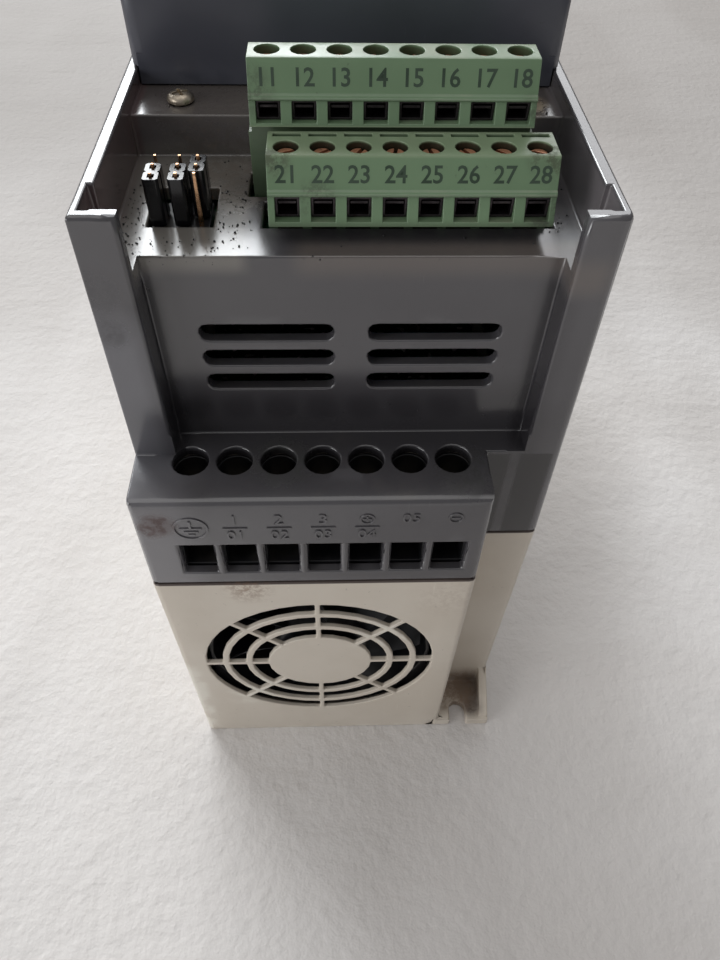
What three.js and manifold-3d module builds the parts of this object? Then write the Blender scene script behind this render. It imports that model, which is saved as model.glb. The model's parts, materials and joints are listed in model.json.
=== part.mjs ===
// Variable frequency drive, lying on its mounting back with the terminal cover taken off.
// Millimetres. Z = 0 is the mounting back and +Z comes out of the front. -Y is the end with the
// fan and the motor terminals, +Y the end with the supply terminals, and +X is to the right when
// the front is seen with the fan end down. The origin is the middle of the mounting back.
import * as THREE from 'three';
import { mergeVertices } from 'three/addons/utils/BufferGeometryUtils.js';
import Module from 'manifold-3d';

const wasm = await Module();
wasm.setup();

// ---- Driving dimensions ---------------------------------------------------------------------

const GAP = 0.3;                  // assembly gap between neighbouring pieces
const WALL = 2.2;                 // thickness of the moulded walls

const BODY_WIDTH = 75.8;          // across the casing at the seam
const BODY_LENGTH = 150;          // between the two end walls
const END_STEP = 11.3;            // how far each terminal block stands out past its end wall
const BLOCK_SIDE_X = 24.3;        // the step is open beyond this side of the terminal block
const DRAFT = 0.0135;             // the side walls lean in by this much per mm away from the seam
const CORNER = 1.5;               // radius of the upright corners

const SEAM_Z = 72.6;              // joint between the rear base and the front housing
const BLOCK_TOP_Z = 97.2;         // top of the terminal blocks
const DECK_Z = 133.4;             // floor of the control terminal bay
const SHELF_Z = 140.0;            // screw shelf behind that bay
const RIM_Z = 142.7;              // top of the side walls
const COVER_TOP_Z = 156.5;        // front of the upper cover

const PANEL_DEPTH = 5.2;          // the slotted panel lies this far behind the end wall
const BAY_LEFT_X = -30.5;         // sides of the recess in front of the slotted panel
const BAY_RIGHT_X = 30.8;
const FLANGE = 1.9;               // thickness of the corner flanges
const SHELF_DEPTH = 34.3;         // from the end wall to the front of the shelf
const COVER_DEPTH = 45.0;         // from the end wall to the front of the upper cover
const COVER_HALF_WIDTH = 35.8;

const POWER_PITCH = 7.62;         // power terminals
const POWER_FIRST_X = -27.8;
const MOTOR_POLES = 7;
const MOTOR_SCREW_OUT = 1.5;      // screw axis, this far outside the end wall on the fan side
const SUPPLY_POLES = 4;
const SUPPLY_SCREW_OUT = 3.8;     // and on the supply side, where the wall above has no recess
const DRIVER_HOLE_R = 3.15;
const ENTRY_WIDTH = 6.0;
const ENTRY_CHAMFER = 0.45;       // the dividers between the wire entries are chamfered
const ENTRY_BOTTOM_Z = 76.1;
const ENTRY_TOP_Z = 85.1;

const CONTROL_PITCH = 5.08;       // control terminals
const CONTROL_POLES = 8;
const PIN_PITCH = 2.54;

const FAN_X = -6.7;               // the fan and its grille
const FAN_Z = 38.6;
const FAN_SIZE = 50;
const FAN_THICKNESS = 15;
const GRILLE_R = 25.4;

const FLOOR = 2.6;                // back wall of the base
const HALF_WIDTH = BODY_WIDTH / 2;
const NEAR = -BODY_LENGTH / 2;    // end wall on the fan side
const FAR = BODY_LENGTH / 2;      // end wall on the supply side
const NEAR_FACE = NEAR - END_STEP;
const FAR_FACE = FAR + END_STEP;

// ---- Finishes -------------------------------------------------------------------------------

const finish = (color, roughness, metalness = 0) =>
  new THREE.MeshStandardMaterial({ color, roughness, metalness });

const DARK_PLASTIC = finish(0x55565b, 0.42);
const LIGHT_PLASTIC = finish(0xa59d93, 0.5);
const NAVY_PLASTIC = finish(0x2c2d38, 0.45);
const GREEN_PLASTIC = finish(0x54735a, 0.5);
const BLACK_PLASTIC = finish(0x17171a, 0.5);
const KEY_RUBBER = finish(0x6b6f76, 0.6);
const GREEN_KEY = finish(0x2f7d4c, 0.55);
const RED_KEY = finish(0xa8322c, 0.55);
const SMOKED_WINDOW = finish(0x14080a, 0.1);
const ALUMINIUM = finish(0xb4b6b8, 0.4, 1);
const STEEL = finish(0x8d9096, 0.35, 1);
const COPPER = finish(0x9a6a4c, 0.4, 1);
const GOLD = finish(0xd9b76a, 0.25, 1);
const CIRCUIT_BOARD = finish(0x1f5a38, 0.5);
const CAPACITOR_SLEEVE = finish(0x20242c, 0.35);
const RELAY_CASE = finish(0x2a5fa0, 0.4);

// ---- Shape helpers --------------------------------------------------------------------------

// A closed geometry as a solid that can be joined and cut.
function solid(geometry) {
  const bare = geometry.clone();
  bare.deleteAttribute('normal');
  bare.deleteAttribute('uv');
  const merged = mergeVertices(bare, 1e-4);
  return new wasm.Manifold(new wasm.Mesh({
    numProp: 3,
    vertProperties: new Float32Array(merged.attributes.position.array),
    triVerts: new Uint32Array(merged.index.array),
  }));
}

function fuse(...solids) {
  return solids.reduce((whole, next) => whole.add(next));
}

function carve(whole, ...tools) {
  return tools.reduce((rest, tool) => rest.subtract(tool), whole);
}

function box(x0, x1, y0, y1, z0, z1) {
  const geometry = new THREE.BoxGeometry(x1 - x0, y1 - y0, z1 - z0);
  geometry.translate((x0 + x1) / 2, (y0 + y1) / 2, (z0 + z1) / 2);
  return solid(geometry);
}

function extrude(shape, depth, curveSegments = 3) {
  return new THREE.ExtrudeGeometry(shape, { depth, bevelEnabled: false, curveSegments });
}

// An outline in X and Y, extruded upwards.
function alongZ(shape, z0, z1, curveSegments) {
  return extrude(shape, z1 - z0, curveSegments).translate(0, 0, z0);
}

// An outline in Y and Z, extruded along X.
function alongX(shape, x0, x1, curveSegments) {
  const turn = new THREE.Matrix4().makeBasis(
    new THREE.Vector3(0, 1, 0), new THREE.Vector3(0, 0, 1), new THREE.Vector3(1, 0, 0));
  return extrude(shape, x1 - x0, curveSegments).applyMatrix4(turn).translate(x0, 0, 0);
}

// An outline in X and Z, extruded along Y.
function alongY(shape, y0, y1, curveSegments) {
  const turn = new THREE.Matrix4().makeBasis(
    new THREE.Vector3(1, 0, 0), new THREE.Vector3(0, 0, 1), new THREE.Vector3(0, -1, 0));
  return extrude(shape, y1 - y0, curveSegments).applyMatrix4(turn).translate(0, y1, 0);
}

// A closed outline through the points, each corner rounded by its own radius or the common one.
function outline(points, radius = 0) {
  const shape = new THREE.Shape();
  const count = points.length;
  points.forEach(([x, y, own], index) => {
    const corner = new THREE.Vector2(x, y);
    const before = new THREE.Vector2(...points[(index + count - 1) % count].slice(0, 2));
    const after = new THREE.Vector2(...points[(index + 1) % count].slice(0, 2));
    const r = own ?? radius;
    const start = corner.clone().add(before.sub(corner).setLength(r));
    const end = corner.clone().add(after.sub(corner).setLength(r));
    if (index === 0) {
      shape.moveTo(start.x, start.y);
    } else {
      shape.lineTo(start.x, start.y);
    }
    if (r > 0) {
      shape.quadraticCurveTo(corner.x, corner.y, end.x, end.y);
    }
  });
  shape.closePath();
  return shape;
}

function rectangle(x0, x1, y0, y1, radius = 0) {
  return outline([[x0, y0], [x1, y0], [x1, y1], [x0, y1]], radius);
}

function circle(x, y, radius) {
  return new THREE.Shape().absarc(x, y, radius, 0, 2 * Math.PI);
}

function ring(x, y, outer, inner) {
  const shape = circle(x, y, outer);
  shape.holes.push(new THREE.Path().absarc(x, y, inner, 0, 2 * Math.PI, true));
  return shape;
}

// A turned shape on an upright axis; the profile is a list of [radius, height] and starts and
// ends on the axis.
function turned(profile, x, y, segments = 20) {
  const points = profile.map(([radius, height]) => new THREE.Vector2(radius, height));
  const lathe = new THREE.LatheGeometry(points, segments);
  return solid(lathe.rotateX(Math.PI / 2).translate(x, y, 0));
}

function pin(x, y, radius, z0, z1, segments = 12) {
  return turned([[0, z0], [radius, z0], [radius, z1], [0, z1]], x, y, segments);
}

// The walls lean in away from the seam: every x shrinks in proportion.
function drafted(geometry) {
  const position = geometry.attributes.position;
  for (let i = 0; i < position.count; i += 1) {
    const away = Math.abs(position.getZ(i) - SEAM_Z);
    position.setX(i, position.getX(i) * (1 - DRAFT * away / HALF_WIDTH));
  }
  return geometry;
}

// The same solid turned half a turn about the upright middle axis, for the other end.
function opposite(shape) {
  return shape.rotate([0, 0, 180]);
}

const group = new THREE.Group();

function piece(name, shape, material) {
  const { vertProperties, triVerts, numProp } = shape.getMesh();
  const positions = new Float32Array(triVerts.length * 3);
  triVerts.forEach((vertex, index) => {
    positions.set(vertProperties.subarray(vertex * numProp, vertex * numProp + 3), index * 3);
  });
  const geometry = new THREE.BufferGeometry();
  geometry.setAttribute('position', new THREE.BufferAttribute(positions, 3));
  geometry.computeVertexNormals();
  const mesh = new THREE.Mesh(geometry, material);
  mesh.name = name;
  group.add(mesh);
}

// ---- Casing outline -------------------------------------------------------------------------

// Seen from the front: the body, with a terminal block step on the left of the fan end and the
// same step, turned half round, on the other end. inset moves every wall inwards, and face is how
// far out the steps stand.
function footprint(inset, radius, face = FAR_FACE) {
  const side = HALF_WIDTH - inset;
  const step = BLOCK_SIDE_X - inset;
  const end = face - inset;
  const wall = FAR - inset;
  return outline([
    [-side, -end], [step, -end], [step, -wall, 0], [side, -wall],
    [side, end], [-step, end], [-step, wall, 0], [-side, wall],
  ], radius);
}

const row = (count, first, pitch) => Array.from({ length: count }, (_, i) => first + i * pitch);
const motorX = row(MOTOR_POLES, POWER_FIRST_X, POWER_PITCH);
const supplyX = row(SUPPLY_POLES, POWER_FIRST_X, POWER_PITCH);

// ---- Rear base ------------------------------------------------------------------------------

const BASE_TOP_Z = SEAM_Z - GAP / 2;
const TAB_TOP_Z = 2.9;
const TAB_SLOT_X = 29.0;
const TAB_SLOT_R = 2.2;
const TAB_SLOT_DEPTH = 5.3;       // from the open end of the slot to its round end's centre line
const GUSSET_TOP_Z = 10.3;
const GUSSET_INNER_X = 34.8;
const COLUMN_TOP_Z = 66.6;
const COLUMN_INNER_X = 31.6;
const OUTLET_SLOTS = 9;
const OUTLET_PITCH = 5.4;
const OUTLET_WIDTH = 3.2;
const OUTLET_HALF_HEIGHT = 23;
const HUB_R = 11.6;
const GRILLE_RINGS = [[21.8, 20.4], [16.6, 15.2]];
const SPOKE_WIDTH = 1.0;
const GRILLE_DEPTH = 1.1;         // the grille and the rim round it are thinner than the wall

// The slotted tab in the open step beside the terminal block, with a gusset on its outer edge. It
// is rooted in the end wall and in the side wall of the block.
function mountingTab() {
  const right = HALF_WIDTH - DRAFT * SEAM_Z;
  const root = 1;
  const plate = box(BLOCK_SIDE_X - 2, right, NEAR_FACE, NEAR + root, 0, TAB_TOP_Z);
  const gusset = alongX(outline([
    [NEAR_FACE + 0.8, 0], [NEAR + root, 0], [NEAR + root, GUSSET_TOP_Z], [NEAR, GUSSET_TOP_Z],
    [NEAR_FACE + 0.8, TAB_TOP_Z + 0.4],
  ]), GUSSET_INNER_X, right);
  const slotEnd = NEAR_FACE + TAB_SLOT_DEPTH - TAB_SLOT_R;
  const slot = fuse(
    box(TAB_SLOT_X - TAB_SLOT_R, TAB_SLOT_X + TAB_SLOT_R, NEAR_FACE - 1, slotEnd, -1, TAB_TOP_Z + 1),
    pin(TAB_SLOT_X, slotEnd, TAB_SLOT_R, -1, TAB_TOP_Z + 1, 20));
  return carve(fuse(plate, solid(gusset)), slot);
}

// Two rings and a hub on eight spokes, flush with the outside of the wall they sit in.
function fanGrille() {
  const inner = NEAR_FACE + GRILLE_DEPTH;
  const hub = solid(alongY(circle(FAN_X, FAN_Z, HUB_R), NEAR_FACE, inner, 12));
  const rings = GRILLE_RINGS.map(([outer, bore]) =>
    solid(alongY(ring(FAN_X, FAN_Z, outer, bore), NEAR_FACE, inner, 16)));
  const spokes = [0, 45, 90, 135].map((degrees) => {
    const bar = new THREE.BoxGeometry(2 * GRILLE_R + 1, GRILLE_DEPTH, SPOKE_WIDTH);
    bar.rotateY(THREE.MathUtils.degToRad(degrees));
    return solid(bar.translate(FAN_X, inner - GRILLE_DEPTH / 2, FAN_Z));
  });
  return fuse(hub, ...rings, ...spokes);
}

function rearBase() {
  const shell = solid(drafted(alongZ(footprint(0, CORNER), 0, BASE_TOP_Z)));
  const hollow = solid(drafted(alongZ(footprint(WALL, 0.6), FLOOR, SEAM_Z + 5)));
  const [fanOpening, fanRelief] = [[GRILLE_R, -1], [GRILLE_R + 1.5, GRILLE_DEPTH]].map(([r, from]) =>
    solid(alongY(circle(FAN_X, FAN_Z, r), NEAR_FACE + from, NEAR_FACE + WALL + 1, 20)));
  const firstOutlet = -FAN_X - OUTLET_PITCH * (OUTLET_SLOTS - 1) / 2;
  const outlets = row(OUTLET_SLOTS, firstOutlet, OUTLET_PITCH).map((x) => {
    const slot = rectangle(x - OUTLET_WIDTH / 2, x + OUTLET_WIDTH / 2,
      FAN_Z - OUTLET_HALF_HEIGHT, FAN_Z + OUTLET_HALF_HEIGHT, 1.5);
    return solid(alongY(slot, FAR_FACE - WALL - 1, FAR_FACE + 1, 2));
  });
  const columns = [-1, 1].flatMap((side) => [NEAR + 14, FAR - 18].map((y) => {
    const [x0, x1] = [side * COLUMN_INNER_X, side * (HALF_WIDTH - 1.6)].sort((a, b) => a - b);
    return box(x0, x1, y, y + 4, 1, COLUMN_TOP_Z);
  }));
  const tab = mountingTab();
  const tub = carve(shell, hollow, fanOpening, fanRelief, ...outlets);
  return fuse(tub, fanGrille(), ...columns, tab, opposite(tab));
}

// ---- Front housing --------------------------------------------------------------------------

const HOUSING_BOTTOM_Z = SEAM_Z + GAP / 2;
const BLOCK_EDGE_R = 1.4;
const MARK_RELIEF = 0.25;         // the block faces sit this far back, to guard their raised marks
const HOUSING_FACE = FAR_FACE - MARK_RELIEF;
const SIDE_INNER_X = 34.8;        // inner faces of the side walls above the deck
const SLOT_HEIGHT = 3.2;
const SLOT_ROWS = [119.6, 114.5, 109.4];
const SLOT_INNER_X = 2.7;
const SLOT_OUTER_X = 23.75;
const SHELF_SCREW_X = 27.3;
const SHELF_SCREW_DEPTH = 39.2;   // screw axis behind the end wall
const HEADER_OPENING = [-30.3, -20.5, 13.0, 24.0];
const FRONT_TERMINAL_OPENING = [-13.2, 30.5, 12.7, 19.9];
const REAR_TERMINAL_OPENING = [-15.8, 28.6, 21.5, 28.7];
const BOARD_Z = 127.9;            // underside of the control board
const BOARD_THICKNESS = 1.6;

function slotPanelCuts() {
  return SLOT_ROWS.flatMap((z) => [[-SLOT_OUTER_X, -SLOT_INNER_X], [SLOT_INNER_X, SLOT_OUTER_X]].map(
    ([x0, x1]) => {
      const slot = rectangle(x0, x1, z - SLOT_HEIGHT / 2, z + SLOT_HEIGHT / 2, SLOT_HEIGHT / 2 - 0.05);
      return solid(alongY(slot, NEAR + PANEL_DEPTH - 1, NEAR + PANEL_DEPTH + WALL + 1, 3));
    }));
}

// The chamfered wire entry and the screwdriver hole of each pole of a terminal block, cut in the
// near end; screwOut is how far the screws stand outside the end wall.
function blockCuts(poles, screwOut) {
  const half = ENTRY_WIDTH / 2;
  const flare = half + ENTRY_CHAMFER;
  return poles.flatMap((x) => {
    const mouth = outline([
      [x - flare, NEAR_FACE - 1], [x + flare, NEAR_FACE - 1], [x + flare, -HOUSING_FACE],
      [x + half, ENTRY_CHAMFER - HOUSING_FACE], [x + half, NEAR_FACE + WALL + 1],
      [x - half, NEAR_FACE + WALL + 1], [x - half, ENTRY_CHAMFER - HOUSING_FACE], [x - flare, -HOUSING_FACE],
    ]);
    return [
      solid(alongZ(mouth, ENTRY_BOTTOM_Z, ENTRY_TOP_Z)),
      pin(x, NEAR - screwOut, DRIVER_HOLE_R, BLOCK_TOP_Z - WALL - 1, BLOCK_TOP_Z + 1, 20),
    ];
  });
}

function frontHousing() {
  const side = alongX(outline([
    [-HOUSING_FACE, HOUSING_BOTTOM_Z], [-HOUSING_FACE, BLOCK_TOP_Z, BLOCK_EDGE_R], [NEAR, BLOCK_TOP_Z],
    [NEAR, RIM_Z], [FAR, RIM_Z], [FAR, BLOCK_TOP_Z], [HOUSING_FACE, BLOCK_TOP_Z, BLOCK_EDGE_R],
    [HOUSING_FACE, HOUSING_BOTTOM_Z],
  ]), -HALF_WIDTH - 1, HALF_WIDTH + 1);
  const outer = footprint(0, CORNER, HOUSING_FACE);
  const prism = solid(drafted(alongZ(outer, HOUSING_BOTTOM_Z, RIM_Z)));
  const shell = prism.intersect(solid(side));

  const inner = HALF_WIDTH - 3;
  const shelfFront = NEAR + SHELF_DEPTH;
  const coverFront = NEAR + COVER_DEPTH;
  const hollows = [
    solid(drafted(alongZ(footprint(WALL, 0.6), SEAM_Z - 5, BLOCK_TOP_Z - WALL))),
    box(-inner, inner, NEAR + PANEL_DEPTH + WALL, FAR - WALL, BLOCK_TOP_Z - WALL - 1, DECK_Z - WALL),
    box(-inner, inner, shelfFront + WALL, FAR - WALL, DECK_Z - WALL - 1, SHELF_Z - WALL),
    box(-SIDE_INNER_X, SIDE_INNER_X, coverFront + WALL, FAR - WALL, SHELF_Z - WALL - 1, RIM_Z + 5),
  ];
  const recess = rectangle(BAY_LEFT_X, BAY_RIGHT_X, NEAR - 5, NEAR + PANEL_DEPTH);
  const bays = [
    solid(alongZ(recess, BLOCK_TOP_Z, RIM_Z + 5)),
    box(-SIDE_INNER_X, SIDE_INNER_X, NEAR + FLANGE, shelfFront, DECK_Z, RIM_Z + 5),
    box(-SIDE_INNER_X, SIDE_INNER_X, shelfFront - 1, coverFront + WALL + 1, SHELF_Z, RIM_Z + 5),
  ];
  const pockets = [-1, 1].map((sign) => {
    const [x0, x1] = [sign * (SIDE_INNER_X - 0.5), sign * (SIDE_INNER_X + 0.9)].sort((a, b) => a - b);
    return box(x0, x1, NEAR + FLANGE, NEAR + FLANGE + 6.5, DECK_Z + 2, RIM_Z + 5);
  });
  const openings = [HEADER_OPENING, FRONT_TERMINAL_OPENING, REAR_TERMINAL_OPENING].map(
    ([x0, x1, y0, y1]) => box(x0, x1, NEAR + y0, NEAR + y1, DECK_Z - WALL - 1, DECK_Z + 1));
  const screwHoles = [-SHELF_SCREW_X, SHELF_SCREW_X].map(
    (x) => pin(x, NEAR + SHELF_SCREW_DEPTH, 1.8, SHELF_Z - WALL - 1, SHELF_Z + 1));

  // Posts under the deck and the shelf that the control board is screwed up against.
  const boardTop = BOARD_Z + BOARD_THICKNESS + GAP;
  const posts = [-31, 31].flatMap((x) => [
    pin(x, NEAR + 10.5, 2, boardTop, DECK_Z - WALL + 0.5, 12),
    pin(x, NEAR + 43, 2, boardTop, SHELF_Z - WALL + 0.5, 12),
  ]);
  const casing = carve(shell, ...hollows, ...bays, ...pockets, ...openings, ...slotPanelCuts());
  const farCuts = blockCuts(supplyX, SUPPLY_SCREW_OUT).map(opposite);
  return fuse(carve(casing, ...screwHoles, ...blockCuts(motorX, MOTOR_SCREW_OUT), ...farCuts), ...posts);
}

// ---- Upper cover and keypad -----------------------------------------------------------------

const COVER_BOTTOM_Z = RIM_Z + GAP;
const COVER_FRONT = NEAR + COVER_DEPTH;
const BEZEL_HALF_WIDTH = 27;
const BEZEL_FRONT = -13;          // keypad panel, from here
const BEZEL_BACK = 61;            // to here along the body
const BEZEL_TOP_Z = 158;
const BEZEL_PLATE = 2.2;
const BEZEL_BOTTOM_Z = 148;
const WINDOW = [-20, 20, 40, 54];
const KEY_TRAVEL = 0.8;
const KEY_TOP_Z = BEZEL_TOP_Z + 1.4;
const KEY_BOTTOM_Z = 153.4;
const KEY_CLEARANCE = 0.35;
const KNOB_X = 14;
const KNOB_Y = 21;
const KNOB_R = 8;
const SHAFT_R = 3;
const KEYPAD_BOARD_Z = 150.6;

// name, centre x, centre y, width, length, finish
const KEYS = [
  ['key_program', -18, 28, 11, 8, KEY_RUBBER],
  ['key_up', -4, 28, 11, 8, KEY_RUBBER],
  ['key_enter', -18, 15, 11, 8, KEY_RUBBER],
  ['key_down', -4, 15, 11, 8, KEY_RUBBER],
  ['key_run', -12, 0, 20, 9, GREEN_KEY],
  ['key_stop', 12, 0, 20, 9, RED_KEY],
];

function roundedBlock(x0, x1, y0, y1, z0, z1, corner, edge) {
  const plan = solid(alongZ(rectangle(x0, x1, y0, y1, corner), z0, z1));
  const long = solid(alongX(outline([[y0, z0], [y1, z0], [y1, z1, edge], [y0, z1, edge]]), x0, x1));
  const wide = solid(alongY(outline([[x0, z0], [x1, z0], [x1, z1, edge], [x0, z1, edge]]), y0, y1));
  return plan.intersect(long).intersect(wide);
}

function upperCover() {
  const x = COVER_HALF_WIDTH;
  const block = roundedBlock(-x, x, COVER_FRONT, FAR, COVER_BOTTOM_Z, COVER_TOP_Z, 2.5, 2.5);
  const apron = box(-SIDE_INNER_X + GAP, SIDE_INNER_X - GAP, COVER_FRONT, COVER_FRONT + WALL - GAP,
    SHELF_Z + GAP, COVER_BOTTOM_Z + 2);
  const hollow = box(-x + WALL, x - WALL, COVER_FRONT + WALL, FAR - WALL, SHELF_Z, COVER_TOP_Z - WALL);
  const aperture = rectangle(-BEZEL_HALF_WIDTH - GAP, BEZEL_HALF_WIDTH + GAP, BEZEL_FRONT - GAP,
    BEZEL_BACK + GAP, 2.2);
  return carve(fuse(block, apron), hollow, solid(alongZ(aperture, COVER_TOP_Z - 5, COVER_TOP_Z + 1)));
}

function keypadBezel() {
  const x = BEZEL_HALF_WIDTH;
  const skirt = 1.6;
  const block = roundedBlock(-x, x, BEZEL_FRONT, BEZEL_BACK, BEZEL_BOTTOM_Z, BEZEL_TOP_Z, 2, 0.8);
  const hollow = box(-x + skirt, x - skirt, BEZEL_FRONT + skirt, BEZEL_BACK - skirt,
    BEZEL_BOTTOM_Z - 1, BEZEL_TOP_Z - BEZEL_PLATE);
  const keyHoles = KEYS.map(([, cx, cy, width, length]) => {
    const w = width / 2 + KEY_CLEARANCE;
    const l = length / 2 + KEY_CLEARANCE;
    return solid(alongZ(rectangle(cx - w, cx + w, cy - l, cy + l, 1.6), BEZEL_TOP_Z - 5, BEZEL_TOP_Z + 1));
  });
  const [x0, x1, y0, y1] = WINDOW;
  const rebate = box(x0, x1, y0, y1, BEZEL_TOP_Z - 1.2, BEZEL_TOP_Z + 1);
  const opening = box(x0 + 1.5, x1 - 1.5, y0 + 1.5, y1 - 1.5, BEZEL_TOP_Z - 5, BEZEL_TOP_Z);
  const shaftHole = pin(KNOB_X, KNOB_Y, SHAFT_R + 0.4, BEZEL_TOP_Z - 5, BEZEL_TOP_Z + 1, 16);
  return carve(block, hollow, ...keyHoles, rebate, opening, shaftHole);
}

// The knob, a skirted grip with twelve flutes and a pointer groove, on its own shaft.
function speedKnob() {
  const bottom = BEZEL_TOP_Z + 0.4;
  const top = BEZEL_TOP_Z + 7;
  const body = turned([
    [0, KEYPAD_BOARD_Z + BOARD_THICKNESS + 0.8], [SHAFT_R, KEYPAD_BOARD_Z + BOARD_THICKNESS + 0.8],
    [SHAFT_R, bottom], [KNOB_R, bottom], [KNOB_R, bottom + 1], [KNOB_R - 1.2, bottom + 1.4],
    [KNOB_R - 1.6, top - 0.6], [KNOB_R - 2.2, top], [0, top],
  ], KNOB_X, KNOB_Y, 24);
  const flutes = Array.from({ length: 12 }, (_, i) => {
    const angle = (i + 0.5) * Math.PI / 6;
    const reach = KNOB_R - 0.7;
    return pin(KNOB_X + reach * Math.cos(angle), KNOB_Y + reach * Math.sin(angle), 0.9,
      bottom + 1.6, top + 1, 6);
  });
  const pointer = box(KNOB_X - 0.5, KNOB_X + 0.5, KNOB_Y + 1.5, KNOB_Y + KNOB_R, top - 0.5, top + 1);
  return carve(body, ...flutes, pointer);
}

// ---- Control terminals, jumpers and boards --------------------------------------------------

// The two tiers of control terminals. face (the upper front edge), back, stem and screw (its axis)
// lie this far behind the end wall. The front leans out by lean for every mm down, past a ridge
// and the wire entries, to a lip, where it steps back to the stem. entry, lip and plinth are
// measured down from the top, as is sink, the top of the clamp screws.
const FRONT_TIER = {
  first: -9.1, face: 12.25, back: 19.35, stem: 14.1, screw: 14.7, top: 144.7, lean: 0.42,
  entry: [4.95, 8.1], lip: 8.7, plinth: 9.2, sink: 0.8, slots: true,
};
const REAR_TIER = {
  first: -11.65, face: 22.7, back: 28.0, stem: 21.9, screw: 25.5, top: 153.15, lean: 0.36,
  entry: [5.0, 7.75], lip: 8.2, plinth: 9.85, sink: 1.0, slots: false,
};
const RIDGE_HEIGHT = 0.75;
const RIDGE_OUT = 0.35;
const PLINTH_OUT = 0.5;           // the plinth is this much wider at either end
const WELL_R = 1.82;
const CONTROL_SCREW_R = 1.5;
const CONTROL_ENTRY_WIDTH = 3.5;
const TOP_SLOT_WIDTH = 4.0;
const TOP_SLOT_DEPTHS = [17.7, 18.6];

function controlTerminal({ first, face, back, stem, screw, top, lean, entry, lip, plinth, slots }) {
  const x0 = first - 2.72;
  const x1 = first + (CONTROL_POLES - 1) * CONTROL_PITCH + 2.6;
  const [y0, y1, yStem, yScrew] = [face, back, stem, screw].map((depth) => NEAR + depth);
  const foot = BOARD_Z + BOARD_THICKNESS + GAP;
  const [entryTop, entryBottom] = entry;
  const front = (drop, out = 0) => [y0 - lean * drop - out, top - drop];
  const ridgeBottom = entryTop - 0.1;
  const ridgeTop = ridgeBottom - RIDGE_HEIGHT;
  const section = outline([
    [yStem, foot], [y1, foot], [y1, top, 0.25], [y0, top, 0.25],
    front(ridgeTop), [...front(ridgeTop + 0.15, RIDGE_OUT), 0.1], [...front(ridgeBottom, RIDGE_OUT), 0.1],
    front(ridgeBottom + 0.1), front(lip), [yStem, top - lip],
  ]);
  const body = solid(alongX(section, x0, x1, 2));
  const base = box(x0 - PLINTH_OUT, x1 + PLINTH_OUT, yStem, y1, foot, top - plinth);
  const half = CONTROL_ENTRY_WIDTH / 2;
  const [slotFront, slotBack] = TOP_SLOT_DEPTHS.map((depth) => NEAR + depth);
  const slot = TOP_SLOT_WIDTH / 2;
  const cuts = row(CONTROL_POLES, first, CONTROL_PITCH).flatMap((x) => [
    pin(x, yScrew, WELL_R, top - 5.4, top + 1, 16),
    box(x - half, x + half, y0 - 5, yScrew + 0.9, top - entryBottom, top - entryTop),
    ...(slots ? [box(x - slot, x + slot, slotFront, slotBack, top - 2.5, top + 1)] : []),
  ]);
  return carve(fuse(body, base), ...cuts);
}

// A headless clamp screw with a driver slot, left at whatever angle it was tightened to.
function slottedScrew(x, y, radius, bottom, top, slot) {
  const screw = pin(x, y, radius, bottom, top);
  const angle = (x * 37) % 180;
  const groove = new THREE.BoxGeometry(3 * radius, slot, 0.9);
  groove.rotateZ(THREE.MathUtils.degToRad(angle)).translate(x, y, top);
  return carve(screw, solid(groove));
}

// Columns of the option pin header, and how far forward each column's shunt sits.
const HEADER_COLUMNS = [-28.7, -25.1, -22.45];
const HEADER_FIRST_ROW = 15.0;
const PIN_TOP_Z = 140.7;
const HEADER_BASE_TOP_Z = 132.4;
const SHUNT_BOTTOM_Z = 132.8;
const SHUNT_TOP_Z = 140.2;
const SHUNT_ROWS = [0, 0, 1];
const PIN_HALF = 0.32;

function pinHeader() {
  const foot = BOARD_Z + BOARD_THICKNESS + GAP;
  const x0 = HEADER_COLUMNS[0] - 1.27;
  const x1 = HEADER_COLUMNS[2] + 1.27;
  const y0 = NEAR + HEADER_FIRST_ROW - 1.27;
  const base = box(x0, x1, y0, y0 + 3 * PIN_PITCH, foot, HEADER_BASE_TOP_Z);
  const rows = row(3, NEAR + HEADER_FIRST_ROW, PIN_PITCH);
  const pins = HEADER_COLUMNS.flatMap((x) => rows.map((y) => box(x - PIN_HALF, x + PIN_HALF,
    y - PIN_HALF, y + PIN_HALF, HEADER_BASE_TOP_Z - 1, PIN_TOP_Z)));
  return fuse(base, ...pins);
}

// A two-pole shunt: a small box with a square passage over each of the two pins it bridges.
function jumperShunt(column) {
  const x = HEADER_COLUMNS[column];
  const front = NEAR + HEADER_FIRST_ROW + SHUNT_ROWS[column] * PIN_PITCH;
  const half = 1.17;
  const bore = PIN_HALF + GAP;
  const body = box(x - half, x + half, front - half, front + PIN_PITCH + half, SHUNT_BOTTOM_Z, SHUNT_TOP_Z);
  const passages = [front, front + PIN_PITCH].map(
    (y) => box(x - bore, x + bore, y - bore, y + bore, SHUNT_BOTTOM_Z - 1, SHUNT_TOP_Z + 1));
  return carve(body, ...passages);
}

function controlBoard() {
  const plan = rectangle(-33.6, 33.6, NEAR + 8, NEAR + 66, 1);
  return solid(alongZ(plan, BOARD_Z, BOARD_Z + BOARD_THICKNESS));
}

// ---- Power side -----------------------------------------------------------------------------

const SINK_HALF_WIDTH = 31;
const SINK_NEAR = NEAR + 9.5;
const SINK_FAR = FAR - WALL - 0.5;
const SINK_BASE_Z = 47.5;
const SINK_TOP_Z = 54;
const FINS = 13;
const FIN_THICKNESS = 1.4;
const POWER_BOARD_Z = 67;
const BLOCK_NEAR = NEAR_FACE + WALL + GAP;
const BLOCK_BACK = NEAR + 6.5;
const SCREW_TOP_Z = 87;
const SCREW_BOTTOM_Z = 82;
const POWER_SCREW_R = 2.7;

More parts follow.
